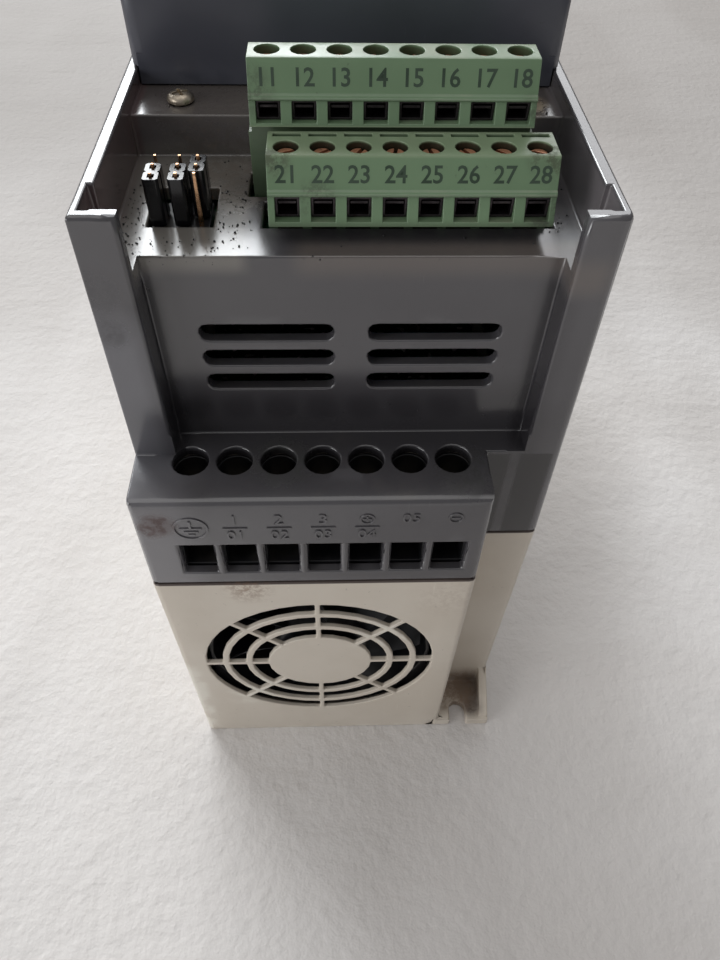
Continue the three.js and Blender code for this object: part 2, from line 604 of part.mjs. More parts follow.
// An extrusion: a thick base with fins hanging from it, open towards both ends.
function heatSink() {
  const pitch = (2 * SINK_HALF_WIDTH - FIN_THICKNESS) / (FINS - 1);
  const points = [[-SINK_HALF_WIDTH, SINK_TOP_Z], [-SINK_HALF_WIDTH, FLOOR + 0.4]];
  for (let fin = 0; fin < FINS; fin += 1) {
    const left = -SINK_HALF_WIDTH + fin * pitch;
    if (fin > 0) {
      points.push([left, SINK_BASE_Z], [left, FLOOR + 0.4]);
    }
    points.push([left + FIN_THICKNESS, FLOOR + 0.4]);
    if (fin < FINS - 1) {
      points.push([left + FIN_THICKNESS, SINK_BASE_Z]);
    }
  }
  points.push([SINK_HALF_WIDTH, SINK_TOP_Z]);
  return solid(alongY(outline(points), SINK_NEAR, SINK_FAR));
}

const FAN_FRONT = NEAR_FACE + WALL + 0.4;
const FAN_BACK = FAN_FRONT + FAN_THICKNESS;
const FAN_BORE_R = 24.2;
const ROTOR_HUB_R = 10.8;

function fanFrame() {
  const half = FAN_SIZE / 2;
  const plan = rectangle(FAN_X - half, FAN_X + half, FAN_Z - half, FAN_Z + half, 3);
  plan.holes.push(new THREE.Path().absarc(FAN_X, FAN_Z, FAN_BORE_R, 0, 2 * Math.PI, true));
  const frame = solid(alongY(plan, FAN_FRONT, FAN_BACK, 14));
  const motorMount = solid(alongY(circle(FAN_X, FAN_Z, ROTOR_HUB_R), FAN_BACK - 2, FAN_BACK, 10));
  const struts = [30, 150, 270].map((degrees) => {
    const bar = new THREE.BoxGeometry(FAN_BORE_R - ROTOR_HUB_R + 3, 2, 2.4);
    bar.translate((FAN_BORE_R + ROTOR_HUB_R) / 2, 0, 0).rotateY(THREE.MathUtils.degToRad(degrees));
    return solid(bar.translate(FAN_X, FAN_BACK - 1, FAN_Z));
  });
  const holes = [-1, 1].flatMap((sx) => [-1, 1].map((sz) => solid(
    alongY(circle(FAN_X + sx * 20, FAN_Z + sz * 20, 1.7), FAN_FRONT - 1, FAN_BACK + 1, 4))));
  return carve(fuse(frame, motorMount, ...struts), ...holes);
}

function fanRotor() {
  const front = FAN_FRONT + 0.5;
  const back = FAN_BACK - 2.5;
  const hub = solid(alongY(circle(FAN_X, FAN_Z, ROTOR_HUB_R), front, back, 14));
  const blades = Array.from({ length: 7 }, (_, i) => {
    const blade = new THREE.BoxGeometry(13, 13, 1.2);
    blade.rotateX(THREE.MathUtils.degToRad(42)).translate(ROTOR_HUB_R + 6, 0, 0);
    blade.rotateY(i * 2 * Math.PI / 7);
    return solid(blade.translate(FAN_X, (front + back) / 2, FAN_Z));
  });
  const sweep = solid(alongY(circle(FAN_X, FAN_Z, FAN_BORE_R - 0.8), front + 0.3, back - 0.3, 24));
  return hub.add(fuse(...blades).intersect(sweep));
}

// The insulating body under a block of power terminals on the near end: per pole a wire mouth from
// the end and a screw well from above that meet in the clamping chamber.
function powerTerminal(poles, screwOut) {
  const half = POWER_PITCH / 2;
  const top = BLOCK_TOP_Z - WALL - GAP;
  const body = box(poles[0] - half, poles.at(-1) + half, BLOCK_NEAR, BLOCK_BACK,
    POWER_BOARD_Z + BOARD_THICKNESS + GAP, top);
  const y = NEAR - screwOut;
  const mouth = ENTRY_WIDTH / 2 - 0.1;
  const floor = ENTRY_BOTTOM_Z + 0.2;
  const cuts = poles.flatMap((x) => [
    box(x - mouth, x + mouth, BLOCK_NEAR - 1, y - 1, floor, ENTRY_TOP_Z - 0.2),
    box(x - mouth, x + mouth, BLOCK_NEAR - 1, y + 2.6, floor, SCREW_BOTTOM_Z - 0.6),
    pin(x, y, DRIVER_HOLE_R, SCREW_BOTTOM_Z - GAP, top + 1, 20),
  ]);
  return carve(body, ...cuts);
}

function powerScrew(x, screwOut) {
  return slottedScrew(x, NEAR - screwOut, POWER_SCREW_R, SCREW_BOTTOM_Z, SCREW_TOP_Z, 0.9);
}

// A pan-head screw with a cross recess, its shank in the shelf's hole.
function coverScrew(x) {
  const y = NEAR + SHELF_SCREW_DEPTH;
  const head = SHELF_Z + GAP;
  const screw = turned([
    [0, SHELF_Z - 6], [1.4, SHELF_Z - 6], [1.4, head], [2.2, head], [2.2, head + 0.6],
    [1.7, head + 1.15], [0, head + 1.3],
  ], x, y, 16);
  const recess = [[1.2, 0.25], [0.25, 1.2]].map(
    ([a, b]) => box(x - a, x + a, y - b, y + b, head + 0.5, head + 2));
  return carve(screw, ...recess);
}

// ---- Assembly -------------------------------------------------------------------------------

piece('rear_base', rearBase(), LIGHT_PLASTIC);
piece('front_housing', frontHousing(), DARK_PLASTIC);
piece('upper_cover', upperCover(), NAVY_PLASTIC);

piece('keypad_bezel', keypadBezel(), DARK_PLASTIC);
piece('display_window', box(WINDOW[0] + GAP, WINDOW[1] - GAP, WINDOW[2] + GAP, WINDOW[3] - GAP,
  BEZEL_TOP_Z - 1.2 + GAP, BEZEL_TOP_Z + 0.2), SMOKED_WINDOW);
piece('led_display', box(-16.5, 16.5, WINDOW[2] + 2, WINDOW[3] - 2, KEYPAD_BOARD_Z + BOARD_THICKNESS + GAP,
  BEZEL_TOP_Z - BEZEL_PLATE - GAP), BLACK_PLASTIC);
for (const [name, cx, cy, width, length, material] of KEYS) {
  piece(name, roundedBlock(cx - width / 2, cx + width / 2, cy - length / 2, cy + length / 2,
    KEY_BOTTOM_Z, KEY_TOP_Z, 1.5, 0.6), material);
}
piece('speed_knob', speedKnob(), BLACK_PLASTIC);
piece('keypad_board', solid(alongZ(rectangle(-24.5, 24.5, BEZEL_FRONT + 3, BEZEL_BACK - 3, 1),
  KEYPAD_BOARD_Z, KEYPAD_BOARD_Z + BOARD_THICKNESS)), CIRCUIT_BOARD);

piece('control_board', controlBoard(), CIRCUIT_BOARD);
piece('signal_relay', box(6, 21, NEAR + 30, NEAR + 49, BOARD_Z - GAP - 15, BOARD_Z - GAP), RELAY_CASE);
piece('control_terminal_front', controlTerminal(FRONT_TIER), GREEN_PLASTIC);
piece('control_terminal_rear', controlTerminal(REAR_TIER), GREEN_PLASTIC);
for (const [tierName, tier] of [['front', FRONT_TIER], ['rear', REAR_TIER]]) {
  row(CONTROL_POLES, tier.first, CONTROL_PITCH).forEach((x, index) => {
    const [bottom, top] = [tier.top - 4.5, tier.top - tier.sink];
    const screw = slottedScrew(x, NEAR + tier.screw, CONTROL_SCREW_R, bottom, top, 0.6);
    piece(`control_screw_${tierName}_${index + 1}`, screw, COPPER);
  });
}
piece('jumper_header', pinHeader(), GOLD);
HEADER_COLUMNS.forEach((_, column) => {
  piece(`jumper_shunt_${column + 1}`, jumperShunt(column), BLACK_PLASTIC);
});
piece('cover_screw_left', coverScrew(-SHELF_SCREW_X), STEEL);
piece('cover_screw_right', coverScrew(SHELF_SCREW_X), STEEL);

piece('heat_sink', heatSink(), ALUMINIUM);
piece('fan_frame', fanFrame(), BLACK_PLASTIC);
piece('fan_rotor', fanRotor(), BLACK_PLASTIC);
piece('power_module', box(-22, 22, -38, 22, SINK_TOP_Z + GAP, POWER_BOARD_Z - GAP), BLACK_PLASTIC);
piece('power_board', solid(alongZ(rectangle(-34, 34, NEAR + 2.6, FAR - 2.6, 1),
  POWER_BOARD_Z, POWER_BOARD_Z + BOARD_THICKNESS)), CIRCUIT_BOARD);
[['bus_capacitor_1', -15], ['bus_capacitor_2', 15]].forEach(([name, x]) => {
  const bottom = POWER_BOARD_Z + BOARD_THICKNESS + GAP;
  piece(name, turned([[0, bottom], [11, bottom], [11, bottom + 39.5], [10.3, bottom + 40.2],
    [0, bottom + 40.2]], x, 38, 28), CAPACITOR_SLEEVE);
});
piece('motor_terminal_block', powerTerminal(motorX, MOTOR_SCREW_OUT), BLACK_PLASTIC);
motorX.forEach((x, index) => {
  piece(`motor_screw_${index + 1}`, powerScrew(x, MOTOR_SCREW_OUT), STEEL);
});
piece('supply_terminal_block', opposite(powerTerminal(supplyX, SUPPLY_SCREW_OUT)), BLACK_PLASTIC);
supplyX.forEach((x, index) => {
  piece(`supply_screw_${index + 1}`, opposite(powerScrew(x, SUPPLY_SCREW_OUT)), STEEL);
});

export default group;
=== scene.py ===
import json
import math
import random

import bmesh
import bpy
import numpy as np
from mathutils import Matrix, Vector
from mathutils.geometry import delaunay_2d_cdt


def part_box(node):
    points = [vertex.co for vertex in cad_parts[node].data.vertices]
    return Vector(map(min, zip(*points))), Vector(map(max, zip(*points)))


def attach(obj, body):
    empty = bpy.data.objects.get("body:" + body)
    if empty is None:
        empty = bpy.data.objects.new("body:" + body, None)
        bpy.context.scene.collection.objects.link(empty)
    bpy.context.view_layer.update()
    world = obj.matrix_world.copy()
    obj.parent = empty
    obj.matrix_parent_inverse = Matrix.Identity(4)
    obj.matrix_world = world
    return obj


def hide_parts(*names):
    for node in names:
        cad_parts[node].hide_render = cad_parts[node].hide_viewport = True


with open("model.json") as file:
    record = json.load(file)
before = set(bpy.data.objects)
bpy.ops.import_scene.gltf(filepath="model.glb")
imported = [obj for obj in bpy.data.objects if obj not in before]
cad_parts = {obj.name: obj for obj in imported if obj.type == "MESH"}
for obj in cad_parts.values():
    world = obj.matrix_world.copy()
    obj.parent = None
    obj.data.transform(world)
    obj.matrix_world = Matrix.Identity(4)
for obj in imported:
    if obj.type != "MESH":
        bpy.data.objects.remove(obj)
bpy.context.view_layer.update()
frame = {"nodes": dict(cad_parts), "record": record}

# The looks of a variable frequency drive that lies on its mounting back with the terminal cover
# off. Metres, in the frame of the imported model: +Z out of the front, -Y the fan end.

MM = 0.001
NODES = frame["nodes"]
BODIES = frame["record"]["behaviour"]["bodies"]
NODE_BODY = {node: body for body, members in BODIES.items() for node in members}
NODE_SLOT = {part["node"]: part["material_slot"] for part in frame["record"]["subparts"]}

# Levels in mm that the small parts, the dirt and the painted light and shade keep to.
FAN_FACE = -86.3  # the fan end, along Y
SEAM = 72.6  # between the rear base and the front housing
BLOCK_TOP = 97.2  # over the power terminal screws
DECK = 133.4  # round the control terminals
SHELF = 140.0  # under the cover's two screws


# ---- Camera and light ----

def linked(name, data):
    """A new object in the scene, made of data."""
    obj = bpy.data.objects.new(name, data)
    bpy.context.scene.collection.objects.link(obj)
    return obj


def aim(obj, place, target, roll=0.0):
    """Puts obj at place, looking at target, turned by roll about its own axis."""
    back = (Vector(place) - Vector(target)).to_track_quat("Z", "Y").to_matrix().to_4x4()
    obj.matrix_world = Matrix.Translation(place) @ back @ Matrix.Rotation(roll, 4, "Z")


def add_camera():
    """Stands over the fan end and looks down at the terminals."""
    pitch, yaw, roll = (math.radians(a) for a in (50.50, 2.87, 1.60))
    data = bpy.data.cameras.new("camera")
    data.sensor_width = 36.0
    data.lens = 27.9
    data.clip_start = 0.01
    camera = linked("camera", data)
    place = Vector((-2.6, -161.8, 195.05)) * MM
    ahead = Vector((math.sin(yaw) * math.cos(pitch), math.cos(yaw) * math.cos(pitch), -math.sin(pitch)))
    aim(camera, place, place + ahead, roll)
    bpy.context.scene.camera = camera


def add_area_light(name, place, target, size, watts, colour):
    data = bpy.data.lights.new(name, "AREA")
    data.shape = "RECTANGLE"
    data.size, data.size_y = size
    data.energy = watts
    data.color = colour
    aim(linked(name, data), place, target)


def add_lights():
    """Daylight from a wide window behind and to the left, a dimmer one to the right, pale walls."""
    middle = (0, -0.03, 0.1)
    add_area_light("window", (-1.75, 4.6, 2.95), middle, (4.2, 2.5), 335, (0.95, 0.98, 1.0))
    add_area_light("ceiling", (0.0, 0.0, 3.4), middle, (3.0, 3.0), 26, (1.0, 0.99, 0.97))
    add_area_light("second window", (2.0, 4.5, 2.5), middle, (2.2, 2.0), 38, (0.97, 0.98, 1.0))
    add_area_light("left wall", (-3.2, -1.8, 1.1), middle, (2.4, 1.8), 62, (0.98, 0.99, 1.0))
    world = bpy.data.worlds.new("studio")
    world.use_nodes = True
    background = world.node_tree.nodes["Background"]
    background.inputs["Color"].default_value = (0.98, 0.98, 1.0, 1)
    background.inputs["Strength"].default_value = 0.23
    bpy.context.scene.world = world


# ---- Node trees ----

def srgb(red, green, blue):
    """A colour as eight-bit display values, turned into the linear values that shaders take."""
    def linear(value):
        value /= 255
        return value / 12.92 if value <= 0.04045 else ((value + 0.055) / 1.055) ** 2.4
    return (linear(red), linear(green), linear(blue), 1.0)


class Graph:
    """A material and short ways to add nodes to it. Any input can be a socket or a plain value."""

    def __init__(self, name):
        self.material = bpy.data.materials.new(name)
        self.material.use_nodes = True
        self.tree = self.material.node_tree
        self.shader = self.tree.nodes["Principled BSDF"]
        self.place = self.node("ShaderNodeTexCoord").outputs["Object"]
        self.normal = self.node("ShaderNodeNewGeometry").outputs["Normal"]

    def put(self, socket, value):
        if isinstance(value, bpy.types.NodeSocket):
            self.tree.links.new(value, socket)
        else:
            socket.default_value = value

    def node(self, kind, inputs=None, **settings):
        made = self.tree.nodes.new(kind)
        for key, value in settings.items():
            setattr(made, key, value)
        for key, value in (inputs or {}).items():
            self.put(made.inputs[key], value)
        return made

    def maths(self, operation, *values):
        return self.node("ShaderNodeMath", dict(enumerate(values)), operation=operation).outputs[0]

    def times(self, *values):
        result = values[0]
        for value in values[1:]:
            result = self.maths("MULTIPLY", result, value)
        return result

    def step(self, value, low, high):
        """0 below low and 1 above high, with a smooth change between; low may be the larger."""
        flip = low > high
        made = self.node("ShaderNodeMapRange", {"Value": value, "From Min": min(low, high),
                         "From Max": max(low, high), "To Min": float(flip), "To Max": float(not flip)},
                         interpolation_type="SMOOTHSTEP")
        return made.outputs["Result"]

    def noise(self, size, detail=3.0, roughness=0.5, stretch=(1, 1, 1), offset=0.0):
        """Noise whose features are about size metres across, drawn out by stretch."""
        mapping = self.node("ShaderNodeMapping", {
            "Vector": self.place, "Location": (offset, offset, offset),
            "Scale": tuple(1 / share for share in stretch)})
        made = self.node("ShaderNodeTexNoise", {"Vector": mapping.outputs[0], "Scale": 1 / size,
                         "Detail": detail, "Roughness": roughness})
        return made.outputs["Fac"]

    def axes(self, vector):
        """The vector's parts along X, Y and Z."""
        return self.node("ShaderNodeSeparateXYZ", {"Vector": vector}).outputs

    def facing(self, axis, low, high):
        """1 where the surface faces along +axis, by its normal's part along it."""
        return self.step(self.axes(self.normal)[axis], low, high)

    def near(self, point, radius, feather):
        """1 within radius of the point, gone at radius plus feather; all in millimetres."""
        away = self.node("ShaderNodeVectorMath", {0: self.place, 1: tuple(c * MM for c in point)},
                         operation="DISTANCE").outputs["Value"]
        return self.step(away, (radius + feather) * MM, radius * MM)

    def within(self, low, high, feather):
        """1 inside a box, gone at feather outside it; all in millimetres."""
        place = self.axes(self.place)
        shares = []
        for axis, (start, end) in enumerate(zip(low, high)):
            away = self.maths("ABSOLUTE", self.maths("SUBTRACT", place[axis], (start + end) / 2 * MM))
            half = (end - start) / 2
            shares.append(self.step(away, (half + feather) * MM, half * MM))
        return self.times(*shares)

    def wells(self, first, pitch, radius, feather, top):
        """1 inside each of a row of upright wells along X, below the height top; first is the
        place of one well. All in millimetres."""
        place = self.axes(self.place)
        fade = 0.4
        along = self.maths("SUBTRACT", place[0], (first[0] - pitch / 2) * MM)
        along = self.maths("SUBTRACT", self.maths("FLOORED_MODULO", along, pitch * MM), pitch / 2 * MM)
        across = self.maths("SUBTRACT", place[1], first[1] * MM)
        squares = self.maths("ADD", self.times(along, along), self.times(across, across))
        away = self.maths("SQRT", squares)
        return self.times(self.step(away, (radius + feather) * MM, radius * MM),
                          self.step(place[2], top * MM, (top - fade) * MM))

    def mix(self, factor, first, second):
        """From the first colour to the second."""
        inputs = {"Factor": factor, 6: first, 7: second}
        return self.node("ShaderNodeMix", inputs, data_type="RGBA").outputs[2]

    def blend(self, factor, first, second):
        """From the first number to the second."""
        inputs = {"Factor": factor, 2: first, 3: second}
        return self.node("ShaderNodeMix", inputs, data_type="FLOAT").outputs[0]

    def edges(self, low=0.53, high=0.62):
        """1 along outward edges, from how the mesh bends there."""
        pointiness = self.node("ShaderNodeNewGeometry").outputs["Pointiness"]
        return self.step(pointiness, low, high)

    def bump(self, *layers):
        """Bump from pairs of height and depth in metres, one laid over the other."""
        normal = None
        for height, depth in layers:
            made = self.node("ShaderNodeBump", {"Height": height, "Distance": depth, "Strength": 1.0})
            if normal is not None:
                self.put(made.inputs["Normal"], normal)
            normal = made.outputs["Normal"]
        self.put(self.shader.inputs["Normal"], normal)

    def finish(self, colour, roughness, metallic=0.0, specular=0.5):
        self.put(self.shader.inputs["Base Color"], colour)
        self.put(self.shader.inputs["Roughness"], roughness)
        self.shader.inputs["Metallic"].default_value = metallic
        self.shader.inputs["Specular IOR Level"].default_value = specular
        return self.material


DUST = srgb(176, 164, 148)


def moulded_plastic(name, colour, shade, rough, dust, edge_wear_and_highlight=0.25, specular=0.5, films=(), spots=(),
                    wells=()):
    """Moulded plastic: cloudy colour, spark-eroded grain, fine scratches, paler edges that are partly
    worn and partly a painted highlight, dust lying on what faces up, and dirt, painted shade and
    painted light. Each film is (low corner in mm, high corner, feather, colour, strength), each spot
    (place, radius, feather, colour, strength, how ragged it is) and each row of wells (arguments of
    Graph.wells, colour, strength)."""
    colour, shade = srgb(*colour), srgb(*shade)
    g = Graph(name)
    cloud = g.noise(0.03, 4, 0.6)
    base = g.mix(g.step(cloud, 0.35, 0.7), colour, shade)
    speck = g.step(g.noise(0.0011, 2, 0.7), 0.7, 0.76)
    base = g.mix(g.times(speck, 0.25), base, srgb(40, 38, 36))
    scratches = g.step(g.noise(0.0005, 2, 0.5, (1, 26, 17), 3.1), 0.68, 0.74)
    patches = g.step(g.noise(0.02, 3, 0.5, offset=7.7), 0.55, 0.68)
    scuff = g.times(scratches, patches)
    pale = tuple(min(1, 1.7 * c + 0.05) for c in colour[:3]) + (1.0,)
    base = g.mix(g.times(scuff, 0.12), base, pale)
    # Paler along outward edges: partly worn plastic, partly a painted highlight.
    edge_patches = g.step(g.noise(0.006, 3), 0.35, 0.55)
    base = g.mix(g.times(g.edges(), edge_patches, edge_wear_and_highlight), base, pale)
    settled = g.step(g.noise(0.012, 5, 0.65, offset=1.3), 0.42, 0.72)
    lying = g.times(g.facing(2, 0.6, 0.95), settled, dust)
    base = g.mix(lying, base, DUST)
    for low, high, feather, tint, strength in films:
        base = g.mix(g.times(g.within(low, high, feather), strength), base, srgb(*tint))
    dirty = lying
    ragged = g.step(g.noise(0.0018, 5, 0.75, offset=5.2), 0.42, 0.58)
    for place, radius, feather, tint, strength, share in spots:
        stain = g.times(g.near(place, radius, feather), g.blend(share, 1.0, ragged), strength)
        base = g.mix(stain, base, srgb(*tint))
        dirty = g.maths("MAXIMUM", dirty, stain)
    for row, tint, strength in wells:
        base = g.mix(g.times(g.wells(*row), strength), base, srgb(*tint))
    roughness = g.maths("ADD", g.blend(cloud, rough - 0.03, rough + 0.05), g.times(dirty, 0.4))
    grain_depth, ripple_depth = 0.000004, 0.00004
    g.bump((g.noise(0.00025, 2, 0.6), grain_depth), (g.noise(0.012, 2), ripple_depth))
    return g.finish(base, roughness, specular=specular)


def metal(name, colour, shade, rough, tarnish, metallic):
    """Plated or bare metal with fine turning marks, duller patches and a little grime."""
    g = Graph(name)
    dull = g.step(g.noise(0.0016, 4, 0.6), 0.4, 0.7)
    base = g.mix(g.times(dull, tarnish * 2), srgb(*colour), srgb(*shade))
    grime = g.step(g.noise(0.0007, 3, offset=2.2), 0.6, 0.7)
    base = g.mix(g.times(grime, 0.5), base, srgb(52, 44, 38))
    g.bump((g.noise(0.00015, 2, 0.6, (1, 1, 8)), 0.000012))
    return g.finish(base, g.blend(dull, rough, rough + 0.25), metallic)


def circuit_board(name):
    """Green solder mask over copper tracks on a fine grid, with tinned pads."""
    g = Graph(name)
    cell = g.node("ShaderNodeTexBrick", {"Vector": g.place, "Scale": 260.0, "Mortar Size": 0.03,
                  "Color1": (0, 0, 0, 1), "Color2": (1, 1, 1, 1), "Mortar": (0.5, 0.5, 0.5, 1)})
    tracks = g.step(cell.outputs["Fac"], 0.3, 0.6)
    base = g.mix(g.times(tracks, 0.5), srgb(24, 82, 48), srgb(58, 128, 78))
    pads = g.step(g.noise(0.0021, 0, offset=4.4), 0.7, 0.72)
    base = g.mix(pads, base, srgb(186, 186, 180))
    g.bump((tracks, 0.00003))
    return g.finish(base, 0.4)


def smoked_window(name):
    """Dark red plastic over the display, glossy but for smears."""
    g = Graph(name)
    smear = g.step(g.noise(0.006, 4, 0.6, (3, 1, 1)), 0.45, 0.75)
    colour = g.mix(smear, srgb(26, 12, 14), srgb(40, 24, 26))
    return g.finish(colour, g.blend(smear, 0.2, 0.34), specular=0.3)


SMUDGE = (64, 40, 38)
# Painted shadow for the gap along the seam between the base and the housing.
SEAM_SHADOW = (52, 34, 34)
GRIME = (56, 43, 37)
MUD = (124, 103, 85)
BROWN = (128, 98, 78)
DARK_OLIVE = (58, 62, 48)
GREEN_SMEAR = (64, 66, 48)

# What marks each material with dirt, painted shade and painted light, in the order that it is laid on.
BASE_FILMS = [
    # a dark band along the seam: painted shadow in the gap
    ((-40, -90, SEAM - 0.4), (40, 90, SEAM + 0.4), 0.15, SEAM_SHADOW, 0.9),
    # behind the fan's grille: painted shade, with brown dust
    ((-33.5, -85.1, 11.8), (20.1, -82.0, 65.4), 0.5, (60, 48, 40), 0.85),
]
BASE_SPOTS = [
    # round the mounting foot
    ((32.8, -77.5, 3.0), 1.5, 5.0, GRIME, 0.95, 0.15),
    ((32.8, -82.5, 3.0), 1.0, 3.6, GRIME, 0.9, 0.15),
    ((28.0, -79.0, 3.0), 3.0, 4.5, MUD, 0.8, 0.5),
    ((31.0, -76.0, 5.0), 2.0, 5.0, MUD, 0.6, 0.3),
    # over the grille
    ((-20.0, FAN_FACE, 70.5), 0.5, 6.0, BROWN, 0.6, 1.0),
    ((20.0, FAN_FACE, 66.0), 1.0, 9.0, BROWN, 0.15, 1.0),
]
HOUSING_FILMS = [
    # a dark band along the seam: painted shadow in the gap
    ((-40, -90, SEAM - 0.2), (40, 90, SEAM + 0.4), 0.15, SEAM_SHADOW, 0.9),
    # the shelf, its step and the deck
    ((-34, -41.0, SHELF - 0.4), (34, -27, SHELF + 0.4), 1.5, (98, 88, 80), 0.45),
    ((-34, -41.6, DECK + 0.4), (34, -40.4, SHELF - 0.6), 0.6, (108, 102, 104), 0.8),
    # paler on the left of the deck: painted reflection of the window
    ((-34, -72, DECK - 0.8), (-17, -42, DECK + 0.4), 3.0, (146, 141, 132), 0.5),
    ((-6, -75.5, DECK - 0.8), (34, -68, DECK + 0.4), 4.0, (120, 108, 98), 0.35),
    # the inner sides of the walls
    ((-36.4, -72.5, 134), (-34.2, -28, 141.8), 1.0, (104, 86, 86), 0.75),
    ((34.2, -72.5, 134), (36.4, -28, 141.8), 1.0, (128, 122, 124), 0.5),
    # painted light at the left end, then painted shade in the corners and at the foot of the recess
    ((-38.5, -76, 98), (-32, -74.5, 122), 9.0, (122, 122, 128), 0.55),
    ((-38.5, -87, 74), (-33, -85, 94), 9.0, (128, 126, 130), 0.5),
    ((-30.6, -73.6, 97), (-29.9, -68, 128), 3.0, (26, 24, 27), 0.7),
    ((30.2, -73.6, 97), (31.0, -68, 128), 3.0, (26, 24, 27), 0.5),
    ((-30.6, -72.0, 96), (31.0, -68, 104), 9.0, (30, 28, 31), 0.6),
]
HOUSING_SPOTS = [
    ((-33.2, FAN_FACE, 91.4), 1.6, 2.6, SMUDGE, 1.0, 0.5),
    ((-34.8, FAN_FACE, 90.0), 1.0, 2.2, SMUDGE, 0.9, 0.8),
    ((20.5, -79.5, BLOCK_TOP), 2.5, 6.0, (34, 34, 33), 0.75, 0.7),
    ((-12.0, -77.0, BLOCK_TOP), 3.0, 5.0, (42, 44, 40), 0.6, 0.6),
    ((-35.2, -75.4, 124.0), 1.0, 3.0, (56, 54, 58), 0.7, 0.5),
    ((-36.0, -75.4, 131.0), 1.5, 4.0, (60, 58, 62), 0.5, 0.6),
    ((-19.0, -50.0, DECK), 4.0, 8.0, (104, 92, 80), 0.7, 0.8),
    ((27.3, -35.8, SHELF), 3.4, 2.4, (112, 96, 78), 0.9, 0.6),
    ((28.5, -36.5, SHELF + 0.2), 2.6, 3.0, (168, 152, 124), 0.8, 1.0),
    ((24.0, -37.5, SHELF), 3.0, 6.0, (104, 98, 90), 0.6, 0.8),
    ((-10.0, -36.0, SHELF), 16.0, 10.0, (84, 78, 72), 0.5, 0.7),
]
HOUSING_WELLS = [
    # near black down in the wells of the power terminals: painted shade, with grime
    (((-27.8, -76.5), 7.62, 2.9, 0.7, BLOCK_TOP - 0.6), (22, 20, 22), 0.9),
]
GREEN_FILMS = [
    # darker at the foot of the front tier, just over the deck
    ((-20, -68, 132), (32, -64, 135.6), 1.6, DARK_OLIVE, 0.65),
    # darker low down on the rear tier, between the tiers
    ((-20, -56, 132), (32, -49, 144.4), 1.2, (62, 70, 54), 0.6),
    # paler along the top of the front tier: painted light
    ((-20, -64, 144.6), (32, -55, 145), 0.3, (146, 160, 130), 0.5),
]
GREEN_SPOTS = [
    ((-11.0, -63.0, 144.4), 1.2, 2.4, GREEN_SMEAR, 0.7, 0.8),
    ((-5.0, -65.5, 139.6), 0.8, 3.0, DARK_OLIVE, 0.6, 0.9),
    ((27.8, -62.0, 144.4), 1.5, 3.0, GREEN_SMEAR, 0.7, 0.8),
    ((29.2, -66.0, 136.5), 1.5, 4.0, (48, 50, 40), 0.8, 0.6),
    ((-14.2, -53.0, 149.0), 1.0, 4.0, (64, 70, 54), 0.6, 0.8),
    ((27.0, -54.0, 145.5), 1.5, 3.5, DARK_OLIVE, 0.6, 0.8),
]
GREEN_WELLS = [
    # darker down in the wells of the control terminals: painted shade, with grime
    (((-9.1, -60.3), 5.08, 1.85, 0.25, 144.68), (46, 42, 32), 0.95),
    (((-11.65, -49.5), 5.08, 1.85, 0.25, 153.1), (62, 72, 52), 0.75),
]

# One material for each slot of the record, and variants of some of them.
MATERIALS = {
    # The base's paler edges are partly a painted highlight.
    "base_plastic": moulded_plastic(
        "base_plastic", (210, 201, 188), (202, 192, 178), 0.42, 0.12, edge_wear_and_highlight=0.3,
        films=BASE_FILMS, spots=BASE_SPOTS),
    "housing_plastic": moulded_plastic(
        "housing_plastic", (77, 75, 78), (72, 70, 73), 0.18, 0.06, specular=1.0,
        films=HOUSING_FILMS, spots=HOUSING_SPOTS, wells=HOUSING_WELLS),
    "terminal_green": moulded_plastic(
        "terminal_green", (112, 137, 106), (102, 126, 96), 0.3, 0.25, specular=0.6,
        films=GREEN_FILMS, spots=GREEN_SPOTS, wells=GREEN_WELLS),
    "display_window": smoked_window("display_window"),
    "circuit_board": circuit_board("circuit_board"),
}
# Colour, its cloudier shade, roughness and dust.
PLAIN_PLASTICS = {
    "cover_plastic": ((69, 70, 79), (62, 63, 71), 0.3, 0.1),
    "keypad_plastic": ((58, 60, 70), (52, 54, 63), 0.4, 0.1),
    "black_plastic": ((28, 28, 31), (22, 22, 24), 0.35, 0.12),
    "shunt_plastic": ((20, 20, 23), (16, 16, 18), 0.16, 0.0),
    "knob_plastic": ((34, 34, 37), (28, 28, 31), 0.4, 0.08),
    "key_rubber": ((128, 131, 137), (118, 121, 127), 0.6, 0.08),
    "run_key": ((52, 128, 78), (46, 116, 70), 0.58, 0.08),
    "stop_key": ((176, 52, 44), (160, 46, 40), 0.58, 0.08),
    "relay_case": ((38, 88, 160), (32, 78, 146), 0.35, 0.1),
    "capacitor_sleeve": ((30, 34, 44), (26, 30, 38), 0.3, 0.05),
    "printing_ink": ((46, 64, 48), (40, 56, 42), 0.5, 0.0),
}
# Colour, its duller shade, roughness, tarnish and metallic.
METALS = {
    "control_screws": ((206, 150, 118), (150, 104, 80), 0.42, 0.3, 0.8),
    "header_pins": ((236, 190, 150), (206, 150, 110), 0.22, 0.1, 1.0),
    "steel_screws": ((206, 194, 176), (150, 138, 122), 0.3, 0.3, 1.0),
    "dark_steel": ((70, 66, 68), (44, 40, 42), 0.42, 0.3, 1.0),
    "heat_sink_aluminium": ((196, 198, 200), (170, 172, 174), 0.35, 0.2, 1.0),
}
MATERIALS |= {name: moulded_plastic(name, *look) for name, look in PLAIN_PLASTICS.items()}
MATERIALS |= {name: metal(name, *look) for name, look in METALS.items()}


# ---- Mesh helpers ----

SHARP = math.radians(40)  # edges that turn by more than this are rounded


def mesh_of(bm, name="part"):
    """What bm holds, as a mesh; bm itself is freed."""
    mesh = bpy.data.meshes.new(name)
    bm.to_mesh(mesh)
    bm.free()
    return mesh


